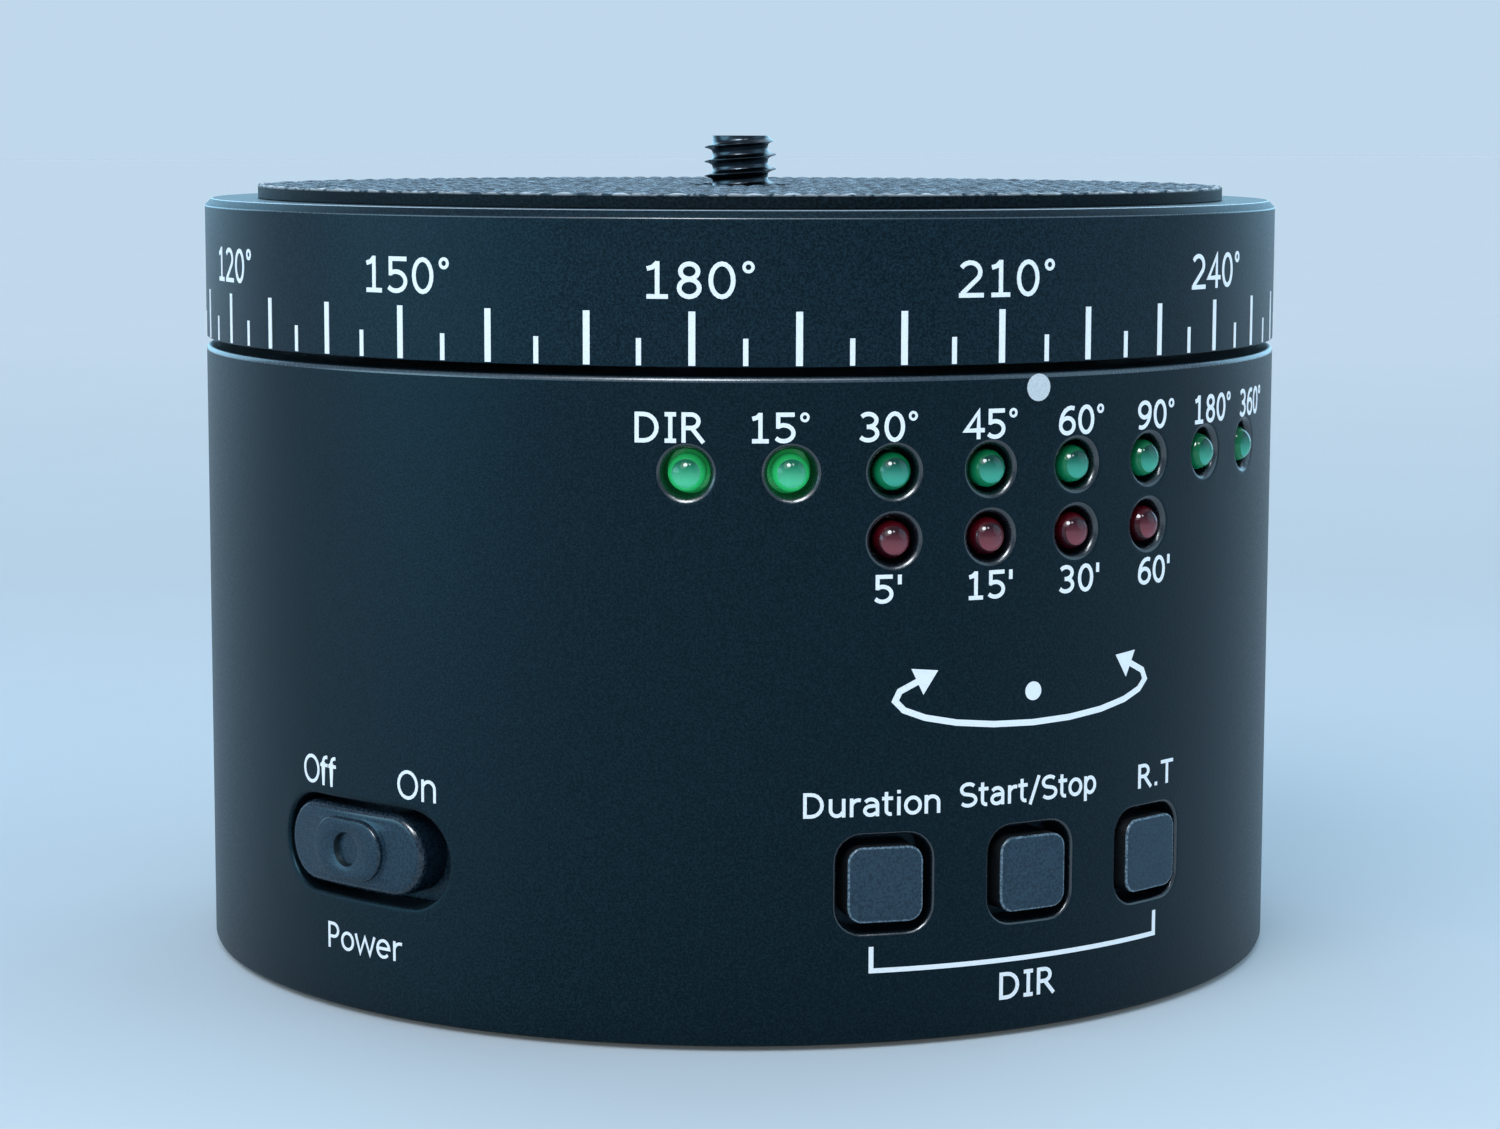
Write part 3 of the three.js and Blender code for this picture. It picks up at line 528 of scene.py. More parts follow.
# A key that is also a slot's name dresses the CAD nodes of that slot.
MATERIALS = {
    "anodised_metal": anodised_metal("anodised_housing"),
    # The dial's copy of the anodised metal is lighter than the housing's: painted light for the extra light
    # it gets from above.
    "dial": anodised_metal("anodised_dial_painted_light", light=(0.0095, 0.021, 0.03)),
    "base_metal": anodised_metal("anodised_base", (0.012, 0.014, 0.017), (0.022, 0.026, 0.03)),
    # A bright painted highlight line for the dial's top corner.
    "edge": machined_edge("machined_edge", (0.36, 0.43, 0.48), (0.62, 0.7, 0.75)),
    # A softer painted highlight band for the rounded top edges.
    "soft_edge_highlight": machined_edge(
        "softened_edge_highlight", (0.02, 0.032, 0.042), (0.07, 0.095, 0.115), (0.2, 0.3), 0.7
    ),
    "mouth": machined_edge(
        "opening_edge", (0.001, 0.003, 0.005), (0.006, 0.012, 0.018), (0.2, 0.3), 1.0
    ),
    "top_rubber": scaled_rubber("platform_rubber", PAD_TOP),
    "base_rubber": rubber("base_rubber", (0.008, 0.009, 0.01), (0.018, 0.02, 0.022)),
    "cap": moulded_plastic(
        "button_plastic", (0.011, 0.023, 0.036), (0.028, 0.052, 0.076), tint=BLUE_SHEEN
    ),
    # A light colour for the caps' rounded edges: a painted highlight.
    "cap_edge_highlight": moulded_plastic("button_edge_highlight", (0.05, 0.085, 0.11), (0.2, 0.27, 0.32), (0.2, 0.3)),
    # Near-black for the caps' sides: painted shade from the opening's walls.
    "cap_side_shade": moulded_plastic("button_side_shade", (0.001, 0.002, 0.003), (0.002, 0.005, 0.008)),
    "knob": moulded_plastic(
        "knob_plastic", (0.004, 0.012, 0.023), (0.014, 0.033, 0.052), (0.24, 0.36), tint=BLUE_SHEEN
    ),
    # Near-black for the dimple's wall: painted shade in the recess.
    "dimple": moulded_plastic(
        "knob_dimple_shade", (0.0003, 0.0006, 0.001), (0.002, 0.004, 0.006), tint=BLUE_SHEEN
    ),
    "knob_edge": moulded_plastic(
        "knob_edge", (0.005, 0.012, 0.02), (0.03, 0.05, 0.07), (0.1, 0.2), 0.006
    ),
    "black_plastic": moulded_plastic("inner_plastic", (0.012, 0.013, 0.015), (0.025, 0.027, 0.03)),
    "gear_plastic": moulded_plastic("gear_nylon", (0.55, 0.52, 0.44), (0.72, 0.69, 0.6)),
    "cable_grey": moulded_plastic("cable_sheath", (0.16, 0.17, 0.18), (0.24, 0.25, 0.26)),
    "battery_wrap": moulded_plastic(
        "battery_sleeve", (0.01, 0.05, 0.2), (0.02, 0.09, 0.32), (0.25, 0.35)
    ),
    "steel": turned_metal("turned_steel", (0.42, 0.43, 0.44), (0.6, 0.61, 0.62)),
    "brass": turned_metal("turned_brass", (0.5, 0.36, 0.14), (0.7, 0.54, 0.26)),
    "black_steel": turned_metal(
        "black_oxide_steel", (0.012, 0.017, 0.022), (0.07, 0.085, 0.1), (0.14, 0.32)
    ),
    # The inks glow a little: painted light.
    "ink": printed_ink("white_ink", (0.93, 0.95, 0.96), (0.8, 0.83, 0.85), 0.17),
    "dot_ink": printed_ink("grey_ink", (0.68, 0.71, 0.72), (0.52, 0.55, 0.57), 0.12),
    # Each lens's colours run from below to above its middle: painted shade and painted reflection.
    "green_lens": lens_material("green_lens", ANGLE_Z, (0.003, 0.16, 0.05), (0.006, 0.24, 0.09)),
    "green_lens_core": lens_material("green_core", ANGLE_Z, (0.001, 0.06, 0.035), (0.06, 0.5, 0.33)),
    "green_lit": lens_material("green_lens_lit", ANGLE_Z, (0.02, 0.4, 0.1), (0.03, 0.62, 0.17), 0.2),
    "green_lit_core": lens_material(
        "green_lit_core", ANGLE_Z, (0.004, 0.13, 0.06), (0.08, 0.6, 0.3), 0.2
    ),
    "red_lens": lens_material("red_lens", TIME_Z, (0.09, 0.003, 0.007), (0.03, 0.001, 0.004)),
    "red_lens_core": lens_material("red_lens_core", TIME_Z, (0.035, 0.001, 0.004), (0.3, 0.06, 0.075)),
    "board_green": circuit_board("board_green"),
}


def dress_cad_nodes():
    """Every CAD node that stays visible gets the material of its slot."""
    for row in frame["record"]["subparts"]:
        node = frame["nodes"][row["node"]]
        node.data.materials.clear()
        node.data.materials.append(MATERIALS[row["material_slot"]])


dress_cad_nodes()


# ---- Housing ----

LIGHT_HOLE = (3.7, 3.7, 1.85)
BUTTON_HOLE = (7.7, 7.7, 2.0)
SLOT_HOLE = (18.8, 8.0, 4.0)
PORT_HOLE = (9.0, 4.4, 1.0)


def wall_openings():
    """(size, u, z, edge rounding, points) of every opening in the housing's wall."""
    made = []
    for _, degrees in ANGLE_LIGHTS:
        made.append((LIGHT_HOLE, arc_length(degrees), ANGLE_Z, 0.65, 32))
    for _, degrees in TIME_LIGHTS:
        made.append((LIGHT_HOLE, arc_length(degrees), TIME_Z, 0.65, 32))
    for degrees in BUTTONS.values():
        made.append((BUTTON_HOLE, arc_length(degrees), BUTTON_Z, 0.35, 48))
    made.append((SLOT_HOLE, arc_length(SLOT_ANGLE), SLOT_Z, 0.3, 72))
    made.append((PORT_HOLE, arc_length(-180), PORT_Z, 0.3, 40))
    return made


def flat_loop(size, u, z, count):
    return [(u + x, z + y) for x, y in round_loop(*size, count)]


def wall_sheet(build, openings, radius, bottom, top, row_step, support):
    """One face of the wall, from bottom to top, with its openings. The seam is at the left rear."""
    turn = 2 * math.pi * BODY_R
    seam = -turn * 240 / 360
    us = [seam + turn * i / COLUMNS for i in range(COLUMNS + 1)]
    rows = max(2, round((top - bottom) / row_step))
    zs = [bottom + (top - bottom) * k / rows for k in range(rows + 1)]
    outline = [(u, bottom) for u in us] + [(us[-1], z) for z in zs[1:]]
    outline += [(u, top) for u in us[-2::-1]] + [(us[0], z) for z in zs[-2:0:-1]]
    holes, extra, keep_out = [], [], []
    for size, u, z, rounding, count in openings:
        edge = grown(size, rounding if support else 0)
        holes.append(flat_loop(edge, u, z, count))
        for amount in (0.12, 0.4) if support else (0.4,):
            extra.extend(flat_loop(grown(edge, amount), u, z, count))
        keep_out.append((u, z, edge[0] / 2 + 0.7, edge[1] / 2 + 0.7))
    for u in us[1:-1]:
        for z in zs[1:-1]:
            if not any(abs(u - cu) < w and abs(z - cz) < h for cu, cz, w, h in keep_out):
                extra.append((u, z))
    sheet(build, outline, holes, extra, lambda u, z: on_wall(u, z, radius))


def tunnel(build, size, u, z, rounding, count, outer, inner):
    """The wall of one opening, with a rounded mouth on the outside."""
    loops = []
    steps = 5
    for k in range(steps + 1):
        angle = math.pi / 2 * k / steps
        spread = rounding * (1 - math.sin(angle))
        depth = rounding * (1 - math.cos(angle))
        loops.append(wall_loop(grown(size, spread), u, z, outer - depth, count))
    loops.append(wall_loop(size, u, z, inner, count))
    build.loft(loops, closed_ends=False)


def flat_circle(radius, centre=(0.0, 0.0), count=24):
    return [p[:2] for p in circle_at(radius, 0, count, centre)]


def deck_face(build, outer, inner, z, holes):
    """A level ring face with round holes."""
    middle = [flat_circle(r, count=72) for r in (inner + 3, (inner + outer) / 2, outer - 3)]
    extra = [
        p
        for ring in middle
        for p in ring
        if all(math.dist(p, c) > r + 1.5 for r, c in holes)
    ]
    loops = [flat_circle(inner, count=COLUMNS)] + [flat_circle(r, c) for r, c in holes]
    sheet(build, flat_circle(outer, count=COLUMNS), loops, extra, lambda x, y: (x, y, z))


def housing():
    build = Build()
    openings = wall_openings()
    edge = 0.45
    edge_bottom, edge_top = 0.75, HOUSING_TOP - edge
    rim, bore, lip, collar = 43.6, 16.1, 14.6, 19.8
    lip_top, seat_bottom = 44.4, 43.6
    wall_sheet(build, openings, BODY_R, edge_bottom, edge_top, 2.2, True)
    wall_sheet(build, openings, WALL_R, edge_bottom, DECK_BOTTOM, 4.0, False)
    for size, u, z, rounding, count in openings:
        tunnel(build, size, u, z, rounding, count, BODY_R, WALL_R)
    top_edge = [(BODY_R, edge_top)]
    for k in range(1, 6):
        angle = math.pi / 2 * k / 5
        top_edge.append((BODY_R - edge * (1 - math.cos(angle)), edge_top + edge * math.sin(angle)))
    build.revolve(top_edge + [(rim, HOUSING_TOP), (rim, DECK_TOP)], closed=False)
    screw_hole, screw_x = 1.8, 8.5
    deck_holes = [(4.0, (0, PINION_Y))] + [(screw_hole, (x, MOTOR_Y)) for x in (-screw_x, screw_x)]
    deck_face(build, rim, bore, DECK_TOP, deck_holes)
    deck_face(build, WALL_R, collar, DECK_BOTTOM, deck_holes)
    for radius, centre in deck_holes:
        ends = [circle_at(radius, z, 24, centre) for z in (DECK_TOP, DECK_BOTTOM)]
        build.loft(ends, closed_ends=False)
    seat = [(bore, DECK_TOP), (bore, lip_top), (lip, lip_top), (lip, seat_bottom)]
    build.revolve(seat + [(collar, seat_bottom), (collar, DECK_BOTTOM)], closed=False)
    bottom_edge = [(BODY_R, edge_bottom), (46.88, 0.47), (46.6, HOUSING_BOTTOM)]
    build.revolve(bottom_edge + [(WALL_R, HOUSING_BOTTOM), (WALL_R, edge_bottom)], closed=False)
    lug_r, lug_bottom, lug_top = 4.0, 4.5, 14.0
    lug = [(0.01, lug_bottom), (lug_r, lug_bottom), (lug_r, lug_top), (0.01, lug_top)]
    for degrees in LUG_ANGLES:
        build.revolve(lug, columns=24, centre=polar(LUG_ORBIT, degrees))
    obj = build.object("housing_shell", "base", MATERIALS["anodised_metal"])

    def is_mouth(p):
        """Whether a face is on the rounded edge of an opening, other than the slider's slot."""
        return 46.3 < from_axis(p) < 46.96 and edge_bottom < p.z < edge_top and p.x > -30

    paint_faces(obj, MATERIALS["mouth"], is_mouth)
    # The housing's top rounding is painted lighter than the wall: a painted highlight band.
    paint_faces(obj, MATERIALS["soft_edge_highlight"], lambda p: 46.75 < from_axis(p) < 46.98 and edge_top < p.z)
    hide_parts("housing")


housing()


# ---- Dial ----


def dial():
    build = Build()
    inner, top_r, bore = 43.0, 46.36, 3.5
    side_bottom, side_top = 53.5, 64.62
    screw_orbit, screw_head, screw_hole, head_seat = 14.8, 3.0, 1.8, 63.3
    edge = [(inner, DIAL_BOTTOM), (46.9, DIAL_BOTTOM), (46.97, 53.43)]
    for share in (0, 0.25, 0.5, 0.75, 1):
        edge.append((BODY_R, side_bottom + share * (side_top - side_bottom)))
    edge += [(46.97, 64.73), (46.45, 65.25), (top_r, DIAL_TOP)]
    build.revolve(edge, closed=False)
    screws = [polar(screw_orbit, a) for a in (60, 180, 300)]
    deck_face(build, top_r, bore, DIAL_TOP, [(screw_head, c) for c in screws])
    deck_face(build, inner, bore, DIAL_INSIDE, [(screw_hole, c) for c in screws])
    steps = [(screw_head, DIAL_TOP), (screw_head, head_seat)]
    steps += [(screw_hole, head_seat), (screw_hole, DIAL_INSIDE)]
    for centre in screws:
        build.loft([circle_at(r, z, 24, centre) for r, z in steps], closed_ends=False)
    build.revolve([(bore, DIAL_TOP), (bore, DIAL_INSIDE)], closed=False)
    build.revolve([(inner, DIAL_INSIDE), (inner, DIAL_BOTTOM)], closed=False)
    obj = build.object("dial_ring", "platform", MATERIALS["dial"])
    # The dial's upper chamfer is painted lighter than its wall: a painted highlight band.
    paint_faces(obj, MATERIALS["soft_edge_highlight"], lambda p: from_axis(p) > 46.9 and side_top < p.z < 64.74)
    # The dial's top corner gets the bright painted highlight line.
    paint_faces(obj, MATERIALS["edge"], lambda p: 46.3 < from_axis(p) < 46.45 and 65.24 < p.z < 65.299)
    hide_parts("dial")


dial()


# ---- Ink: ticks, numerals and plain control labels, in strokes ----

INK_BOTTOM, INK_TOP = BODY_R - 0.02, BODY_R + 0.035
X_HEIGHT, DEGREE_WEIGHT = 0.75, 0.088


def arc(cx, cy, rx, ry, start, end):
    """Points along part of an ellipse, angles in degrees from the right, anticlockwise."""
    steps = max(3, round(abs(end - start) / 18))
    made = []
    for k in range(steps + 1):
        angle = math.radians(start + (end - start) * k / steps)
        made.append((cx + rx * math.cos(angle), cy + ry * math.sin(angle)))
    return made


def oval(cx, cy, rx, ry):
    return arc(cx, cy, rx, ry, 0, 360)[:-1]


# Each letter is its advance and its strokes, in units of the capitals' height. A stroke that
# starts with "loop" is closed.
GLYPHS = {
    "0": (0.874, [["loop", *oval(0.437, 0.5, 0.3, 0.44)]]),
    "1": (
        0.874,
        [[(0.17, 0.8), (0.32, 0.84), (0.45, 0.96)], [(0.45, 1), (0.45, 0)], [(0.16, 0.06), (0.74, 0.06)]],
    ),
    "2": (0.874, [[*arc(0.39, 0.68, 0.3, 0.26, 150, -35), (0.14, 0.1)], [(0.06, 0.06), (0.8, 0.06)]]),
    "3": (0.874, [arc(0.36, 0.725, 0.29, 0.215, 145, -100), arc(0.36, 0.285, 0.32, 0.225, 100, -148)]),
    "4": (
        0.874,
        [["loop", (0.6, 0.93), (0.6, 0.3), (0.1, 0.3)], [(0.6, 0.4), (0.6, 0)], [(0.6, 0.3), (0.84, 0.3)]],
    ),
    "5": (0.874, [[(0.76, 0.94), (0.19, 0.94), (0.19, 0.48)], arc(0.38, 0.325, 0.34, 0.265, 130, -142)]),
    "6": (0.874, [["loop", *oval(0.445, 0.32, 0.3, 0.26)], arc(0.61, 0.36, 0.465, 0.57, 72, 180)]),
    "7": (0.874, [[(0.07, 0.94), (0.76, 0.94), (0.3, 0)]]),
    "8": (0.874, [["loop", *oval(0.437, 0.735, 0.235, 0.2)], ["loop", *oval(0.437, 0.29, 0.27, 0.23)]]),
    "9": (0.874, [["loop", *oval(0.43, 0.68, 0.3, 0.26)], arc(0.265, 0.64, 0.465, 0.57, -108, 0)]),
    "°": (0.54, [["loop", *oval(0.24, 0.85, 0.12, 0.12)]]),
    "'": (0.37, [[(0.16, 1), (0.16, 0.66)]]),
    ".": (0.5, [[(0.22, 0), (0.22, 0.15)]]),
    "/": (0.625, [[(0.54, 1.04), (0.08, -0.12)]]),
    "D": (1.06, [["loop", (0.17, 0.06), *arc(0.42, 0.5, 0.45, 0.44, -90, 90), (0.17, 0.94)]]),
    "I": (0.58, [[(0.29, 1), (0.29, 0)], [(0.09, 0.94), (0.49, 0.94)], [(0.09, 0.06), (0.49, 0.06)]]),
    "O": (1.08, [["loop", *oval(0.54, 0.5, 0.43, 0.44)]]),
    "P": (0.83, [[(0.17, 0), (0.17, 0.94), *arc(0.42, 0.69, 0.28, 0.25, 90, -90), (0.17, 0.44)]]),
    "R": (
        0.956,
        [
            [(0.17, 0), (0.17, 0.94), *arc(0.43, 0.715, 0.26, 0.225, 90, -90), (0.17, 0.49)],
            [(0.45, 0.49), (0.86, 0)],
        ],
    ),
    "S": (0.94, [[*arc(0.47, 0.72, 0.33, 0.22, 38, 235), *arc(0.46, 0.285, 0.36, 0.225, 62, -145)]]),
    "T": (0.85, [[(0.03, 0.94), (0.82, 0.94)], [(0.425, 0.94), (0.425, 0)]]),
    "a": (
        0.826,
        [
            [*arc(0.38, 0.47, 0.27, 0.22, 150, 0), (0.65, 0)],
            [(0.65, 0.43), *arc(0.36, 0.235, 0.24, 0.18, 90, 300), (0.65, 0.17)],
        ],
    ),
    "e": (0.82, [[(0.11, 0.385), *arc(0.41, 0.375, 0.3, 0.315, 2, 318)]]),
    "f": (0.48, [[(0.19, 0), (0.19, 0.8), *arc(0.38, 0.8, 0.19, 0.18, 180, 75)], [(0.02, 0.7), (0.45, 0.7)]]),
    "i": (0.38, [[(0.19, 0), (0.19, X_HEIGHT)], [(0.19, 0.88), (0.19, 1.02)]]),
    "n": (
        0.87,
        [
            [(0.16, 0), (0.16, X_HEIGHT)],
            [(0.16, 0.52), *arc(0.43, 0.44, 0.27, 0.25, 150, 0), (0.7, 0)],
        ],
    ),
    "o": (0.835, [["loop", *oval(0.4175, 0.375, 0.31, 0.315)]]),
    "p": (0.857, [[(0.16, -0.27), (0.16, X_HEIGHT)], ["loop", *oval(0.43, 0.375, 0.27, 0.315)]]),
    "r": (0.59, [[(0.16, 0), (0.16, X_HEIGHT)], [(0.16, 0.48), *arc(0.45, 0.42, 0.29, 0.26, 155, 72)]]),
    "t": (0.54, [[(0.2, 0.96), *arc(0.38, 0.22, 0.18, 0.16, 180, 285)], [(0.02, 0.7), (0.48, 0.7)]]),
    "u": (
        0.87,
        [
            [(0.16, X_HEIGHT), *arc(0.42, 0.3, 0.26, 0.24, 180, 330), (0.7, 0.25)],
            [(0.7, X_HEIGHT), (0.7, 0)],
        ],
    ),
    "w": (1.126, [[(0.05, X_HEIGHT), (0.3, 0.04), (0.563, 0.66), (0.826, 0.04), (1.076, X_HEIGHT)]]),
}


def stroke_sides(path, width, closed):
    """The points beside a path, left and right of it, mitred at its corners."""
    left, right = [], []
    count = len(path)
    for i in range(count):
        here = Vector(path[i])
        before = Vector(path[i - 1]) if closed or i else None
        after = Vector(path[(i + 1) % count]) if closed or i < count - 1 else None
        ahead = (after - here).normalized() if after else (here - before).normalized()
        back = (here - before).normalized() if before else ahead
        normal = Vector((-(ahead + back).y, (ahead + back).x)).normalized()
        reach = min(1.9, 1 / max(0.3, normal.dot(Vector((-ahead.y, ahead.x)))))
        left.append(here + normal * reach * width / 2)
        right.append(here - normal * reach * width / 2)
    return left, right


def stroke_quads(path, width):
    """A stroke as four-sided pieces."""
    closed = path[0] == "loop"
    path = path[1:] if closed else path
    left, right = stroke_sides(path, width, closed)
    ends = range(len(path)) if closed else range(len(path) - 1)
    quads = []
    for i in ends:
        j = (i + 1) % len(path)
        quads.append([right[i], right[j], left[j], left[i]])
    return quads


def printed(build, shapes, to_wall):
    """Adds the union of flat anticlockwise polygons as raised ink; to_wall(x, y) gives u, z."""
    points, faces = [], []
    for shape in shapes:
        faces.append([len(points) + i for i in range(len(shape))])
        points.extend(shape)
    made = delaunay_2d_cdt(points, [], faces, 1, 1e-5, True)
    triangles = [face for face, sources in zip(made[2], made[5]) if sources]
    edges = Counter()
    for a, b, c in triangles:
        edges.update([(a, b), (b, c), (c, a)])
    flat = [to_wall(*p) for p in made[0]]
    count = len(flat)
    solid = list(triangles)
    solid += [(c + count, b + count, a + count) for a, b, c in triangles]
    solid += [(a, b, b + count, a + count) for a, b in edges if (b, a) not in edges]
    low = [on_wall(u, z, INK_BOTTOM) for u, z in flat]
    high = [on_wall(u, z, INK_TOP) for u, z in flat]
    build.add(high + low, solid)


def text_width(text):
    return sum(GLYPHS[letter][0] for letter in text)


def write(build, text, u, z, height, weight=0.145, narrow=1.0):
    """Writes text centred at arc length u, with its base line at z."""
    x = u - text_width(text) * height * narrow / 2
    for letter in text:
        advance, strokes = GLYPHS[letter]
        heaviness = DEGREE_WEIGHT if letter == "°" else weight
        shapes = [quad for stroke in strokes for quad in stroke_quads(stroke, heaviness)]
        printed(build, shapes, lambda px, py: (x + px * height * narrow, z + py * height))
        x += advance * height * narrow


def print_bar(build, u0, z0, u1, z1):
    """A printed rectangle between two corners, cut into short lengths to follow the wall."""
    count = max(1, round(u1 - u0))
    shapes = []
    for i in range(count):
        a, b = u0 + (u1 - u0) * i / count, u0 + (u1 - u0) * (i + 1) / count
        shapes.append([Vector((a, z0)), Vector((b, z0)), Vector((b, z1)), Vector((a, z1))])
    printed(build, shapes, lambda x, y: (x, y))


DIAL_REST = -213.955
NUMERAL_Z, NUMERAL_HEIGHT = 58.6, 2.85
TICK_BOTTOM = 53.52


def dial_scale():
    """A tick every 5 degrees, longer every 10, and a numeral every 30."""
    build = Build()
    for reading in range(0, 360, 5):
        u = arc_length(reading + DIAL_REST)
        long = reading % 10 == 0
        half, top = (0.265, 57.65) if long else (0.2, 55.6)
        print_bar(build, u - half, TICK_BOTTOM, u + half, top)
    for reading in range(0, 360, 30):
        u = arc_length(reading + DIAL_REST)
        write(build, str(reading), u - 0.2, NUMERAL_Z, NUMERAL_HEIGHT, weight=0.125)
        ring = u + text_width(str(reading)) / 2 * NUMERAL_HEIGHT + 0.65
        write(build, "°", ring, NUMERAL_Z, NUMERAL_HEIGHT)
    obj = build.object("dial_scale", "platform", MATERIALS["ink"])


def bracket(build):
    """The line that joins the two outer buttons, with their direction label below it."""
    left, right, bottom, top, stroke = arc_length(-16.8), arc_length(16.65), 6.05, 8.15, 0.38
    print_bar(build, left - stroke / 2, bottom, right + stroke / 2, bottom + stroke)
    for u in (left, right):
        print_bar(build, u - stroke / 2, bottom, u + stroke / 2, top)
    write(build, "DIR", arc_length(-0.3), 3.05, 2.15)


def turning_symbol(build):
    """A plain sign for turning both ways: an open ellipse with an arrow head at each end."""
    wide, high, stroke = 12.0, 2.5, 0.5
    centre_z = 27.6
    path = arc(0, 0, wide, high, 148, 392)
    shapes = stroke_quads(path, stroke)
    for end, before in ((path[0], path[1]), (path[-1], path[-2])):
        way = (Vector(end) - Vector(before)).normalized()
        side = Vector((-way.y, way.x)) * 1.15
        shapes.append([Vector(end) - side, Vector(end) + way * 1.9, Vector(end) + side])
    shapes.append([Vector(p) for p in oval(0, 0, 0.75, 0.75)])
    printed(build, shapes, lambda x, y: (x, centre_z + y))


def control_labels():
    build = Build()
    angle_line, time_line = 47.65, 35.15
    marks = ["DIR", "15°", "30°", "45°", "60°", "90°", "180°", "360°"]
    for i, text in enumerate(marks):
        u = arc_length(LABEL_SHIFT + (i - 3.5) * LABEL_STEP)
        write(build, text, u, angle_line, 2.3, narrow=0.88 if text == "360°" else 0.96)
    for i, text in enumerate(["5'", "15'", "30'", "60'"]):
        u = arc_length(LABEL_SHIFT + (i - 1.5) * LABEL_STEP)
        write(build, text, u, time_line, 2.2, narrow=0.96)
    for text, degrees, z, narrow in (
        ("Duration", -16.7, 18.5, 0.98),
        ("Start/Stop", 0.0, 18.77, 0.94),
        ("R.T", 16.6, 18.5, 1.08),
    ):
        write(build, text, arc_length(degrees), z, 1.95, narrow=narrow)
    for text, degrees, z, height, narrow in (
        ("Off", -76.0, 18.4, 2.4, 0.9),
        ("On", -62.4, 18.4, 2.4, 0.9),
        ("Power", -69.72, 5.1, 2.15, 0.98),
    ):
        write(build, text, arc_length(degrees), z, height, weight=0.115, narrow=narrow)
    bracket(build)
    turning_symbol(build)
    obj = build.object("control_labels", "base", MATERIALS["ink"])


def index_dot():
    build = Build()
    u, z, radius = arc_length(0.2), 51.5, 1.08
    printed(build, [[Vector(p) for p in oval(0, 0, radius, radius)]], lambda x, y: (u + x, z + y))
    obj = build.object("index_dot", "base", MATERIALS["dot_ink"])


dial_scale()
control_labels()
index_dot()


# ---- Rubber pad on the platform ----


def pad_relief(x, y):
    """Height of the pad's scales: rounded, on a hexagonal lattice, each tilted a little."""
    pitch, relief = 1.7, 0.42
    row_height = pitch * math.sqrt(3) / 2
    best = (pitch, 0.0)
    base_row = math.floor(y / row_height)
    for row in (base_row, base_row + 1):
        offset = 0.5 * pitch * (row % 2)
        column = round((x - offset) / pitch)
        dx, dy = x - column * pitch - offset, y - row * row_height
        best = min(best, (math.hypot(dx, dy), dy))
    distance, dy = best
    dome = math.sqrt(max(0.0, 1 - (distance / (0.62 * pitch)) ** 2))
    return -relief * (1 - dome) + 0.05 * dy / pitch


def pad_points(outer, inner):
    """Points on and between the scales, inside the ring from inner to outer."""
    step = 0.34
    points = []
    rows = int(2 * outer / step)
    for row in range(rows):
        y = -outer + (row + 0.5) * step
        for column in range(rows):
            x = -outer + (column + 0.5 * (row % 2)) * step
            if inner + 0.25 < math.hypot(x, y) < outer - 0.2:
                points.append((x, y))
    return points


def grip_pad():
    """Embossed rubber disc, with the scales cut through at its edge."""
    build = Build()
    bottom, rim_count, hole_count = DIAL_TOP + 0.05, 900, 96
    rim, hole = flat_circle(PAD_R, count=rim_count), flat_circle(PAD_HOLE, count=hole_count)

    def surface(x, y):
        return (x, y, PAD_TOP + pad_relief(x, y))

    sheet(build, rim, [hole], pad_points(PAD_R, PAD_HOLE), surface)
    for loop in (rim, hole):
        build.loft([[surface(*p) for p in loop], [(*p, bottom) for p in loop]], closed_ends=False)
    sheet(build, rim, [hole], [], lambda x, y: (x, y, bottom))
    obj = build.object("grip_pad", "platform", MATERIALS["top_rubber"], smooth_below=55)
    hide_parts("top_pad")


grip_pad()


# ---- Threads and the camera screw ----

# One turn of each thread's section: shares of the pitch, and of the depth from root to crest.
SHARP_THREAD = [(0.0, 0.0), (0.3, 0.0), (0.48, 0.16), (0.6, 0.6)]
SHARP_THREAD += [(0.65, 1.0), (0.7, 1.0), (0.75, 0.6), (0.86, 0.16)]
FLAT_THREAD = [(0.0, 0.0), (0.16, 0.0), (0.5, 1.0), (0.64, 1.0)]


def thread_loops(root, crest, pitch, bottom, top, profile, columns, chamfer):
    """Rows of a right-hand thread. Row j + len(profile) of one column meets row j of the first."""
    turns = math.ceil((top - bottom) / pitch) + 2
    rows = []
    for j in range(turns * len(profile)):
        share, height = profile[j % len(profile)]
        turn = j // len(profile) - 1
        row = []
        for i in range(columns + 1):
            angle = 2 * math.pi * i / columns
            z = bottom + pitch * (turn + share + i / columns)
            z = min(max(z, bottom), top)
            r = root + (crest - root) * height
            r = min(r, root + chamfer * (top - z), root + chamfer * (z - bottom)) if chamfer else r
            row.append((r * math.sin(angle), -r * math.cos(angle), z))
        rows.append(row)
    return rows


def add_thread(build, root, crest, pitch, bottom, top, profile, columns=48, chamfer=1.2):
    rows = thread_loops(root, crest, pitch, bottom, top, profile, columns, chamfer)
    wide = columns + 1
    faces = []
    for j in range(len(rows) - 1):
        for i in range(columns):
            a, b = j * wide + i, (j + 1) * wide + i
            faces.append((a, a + 1, b + 1, b))
    build.add([p for row in rows for p in row], faces)


def end_disc(build, radius, z, columns=48):
    build.add(circle_at(radius, z, columns), [tuple(range(columns))])


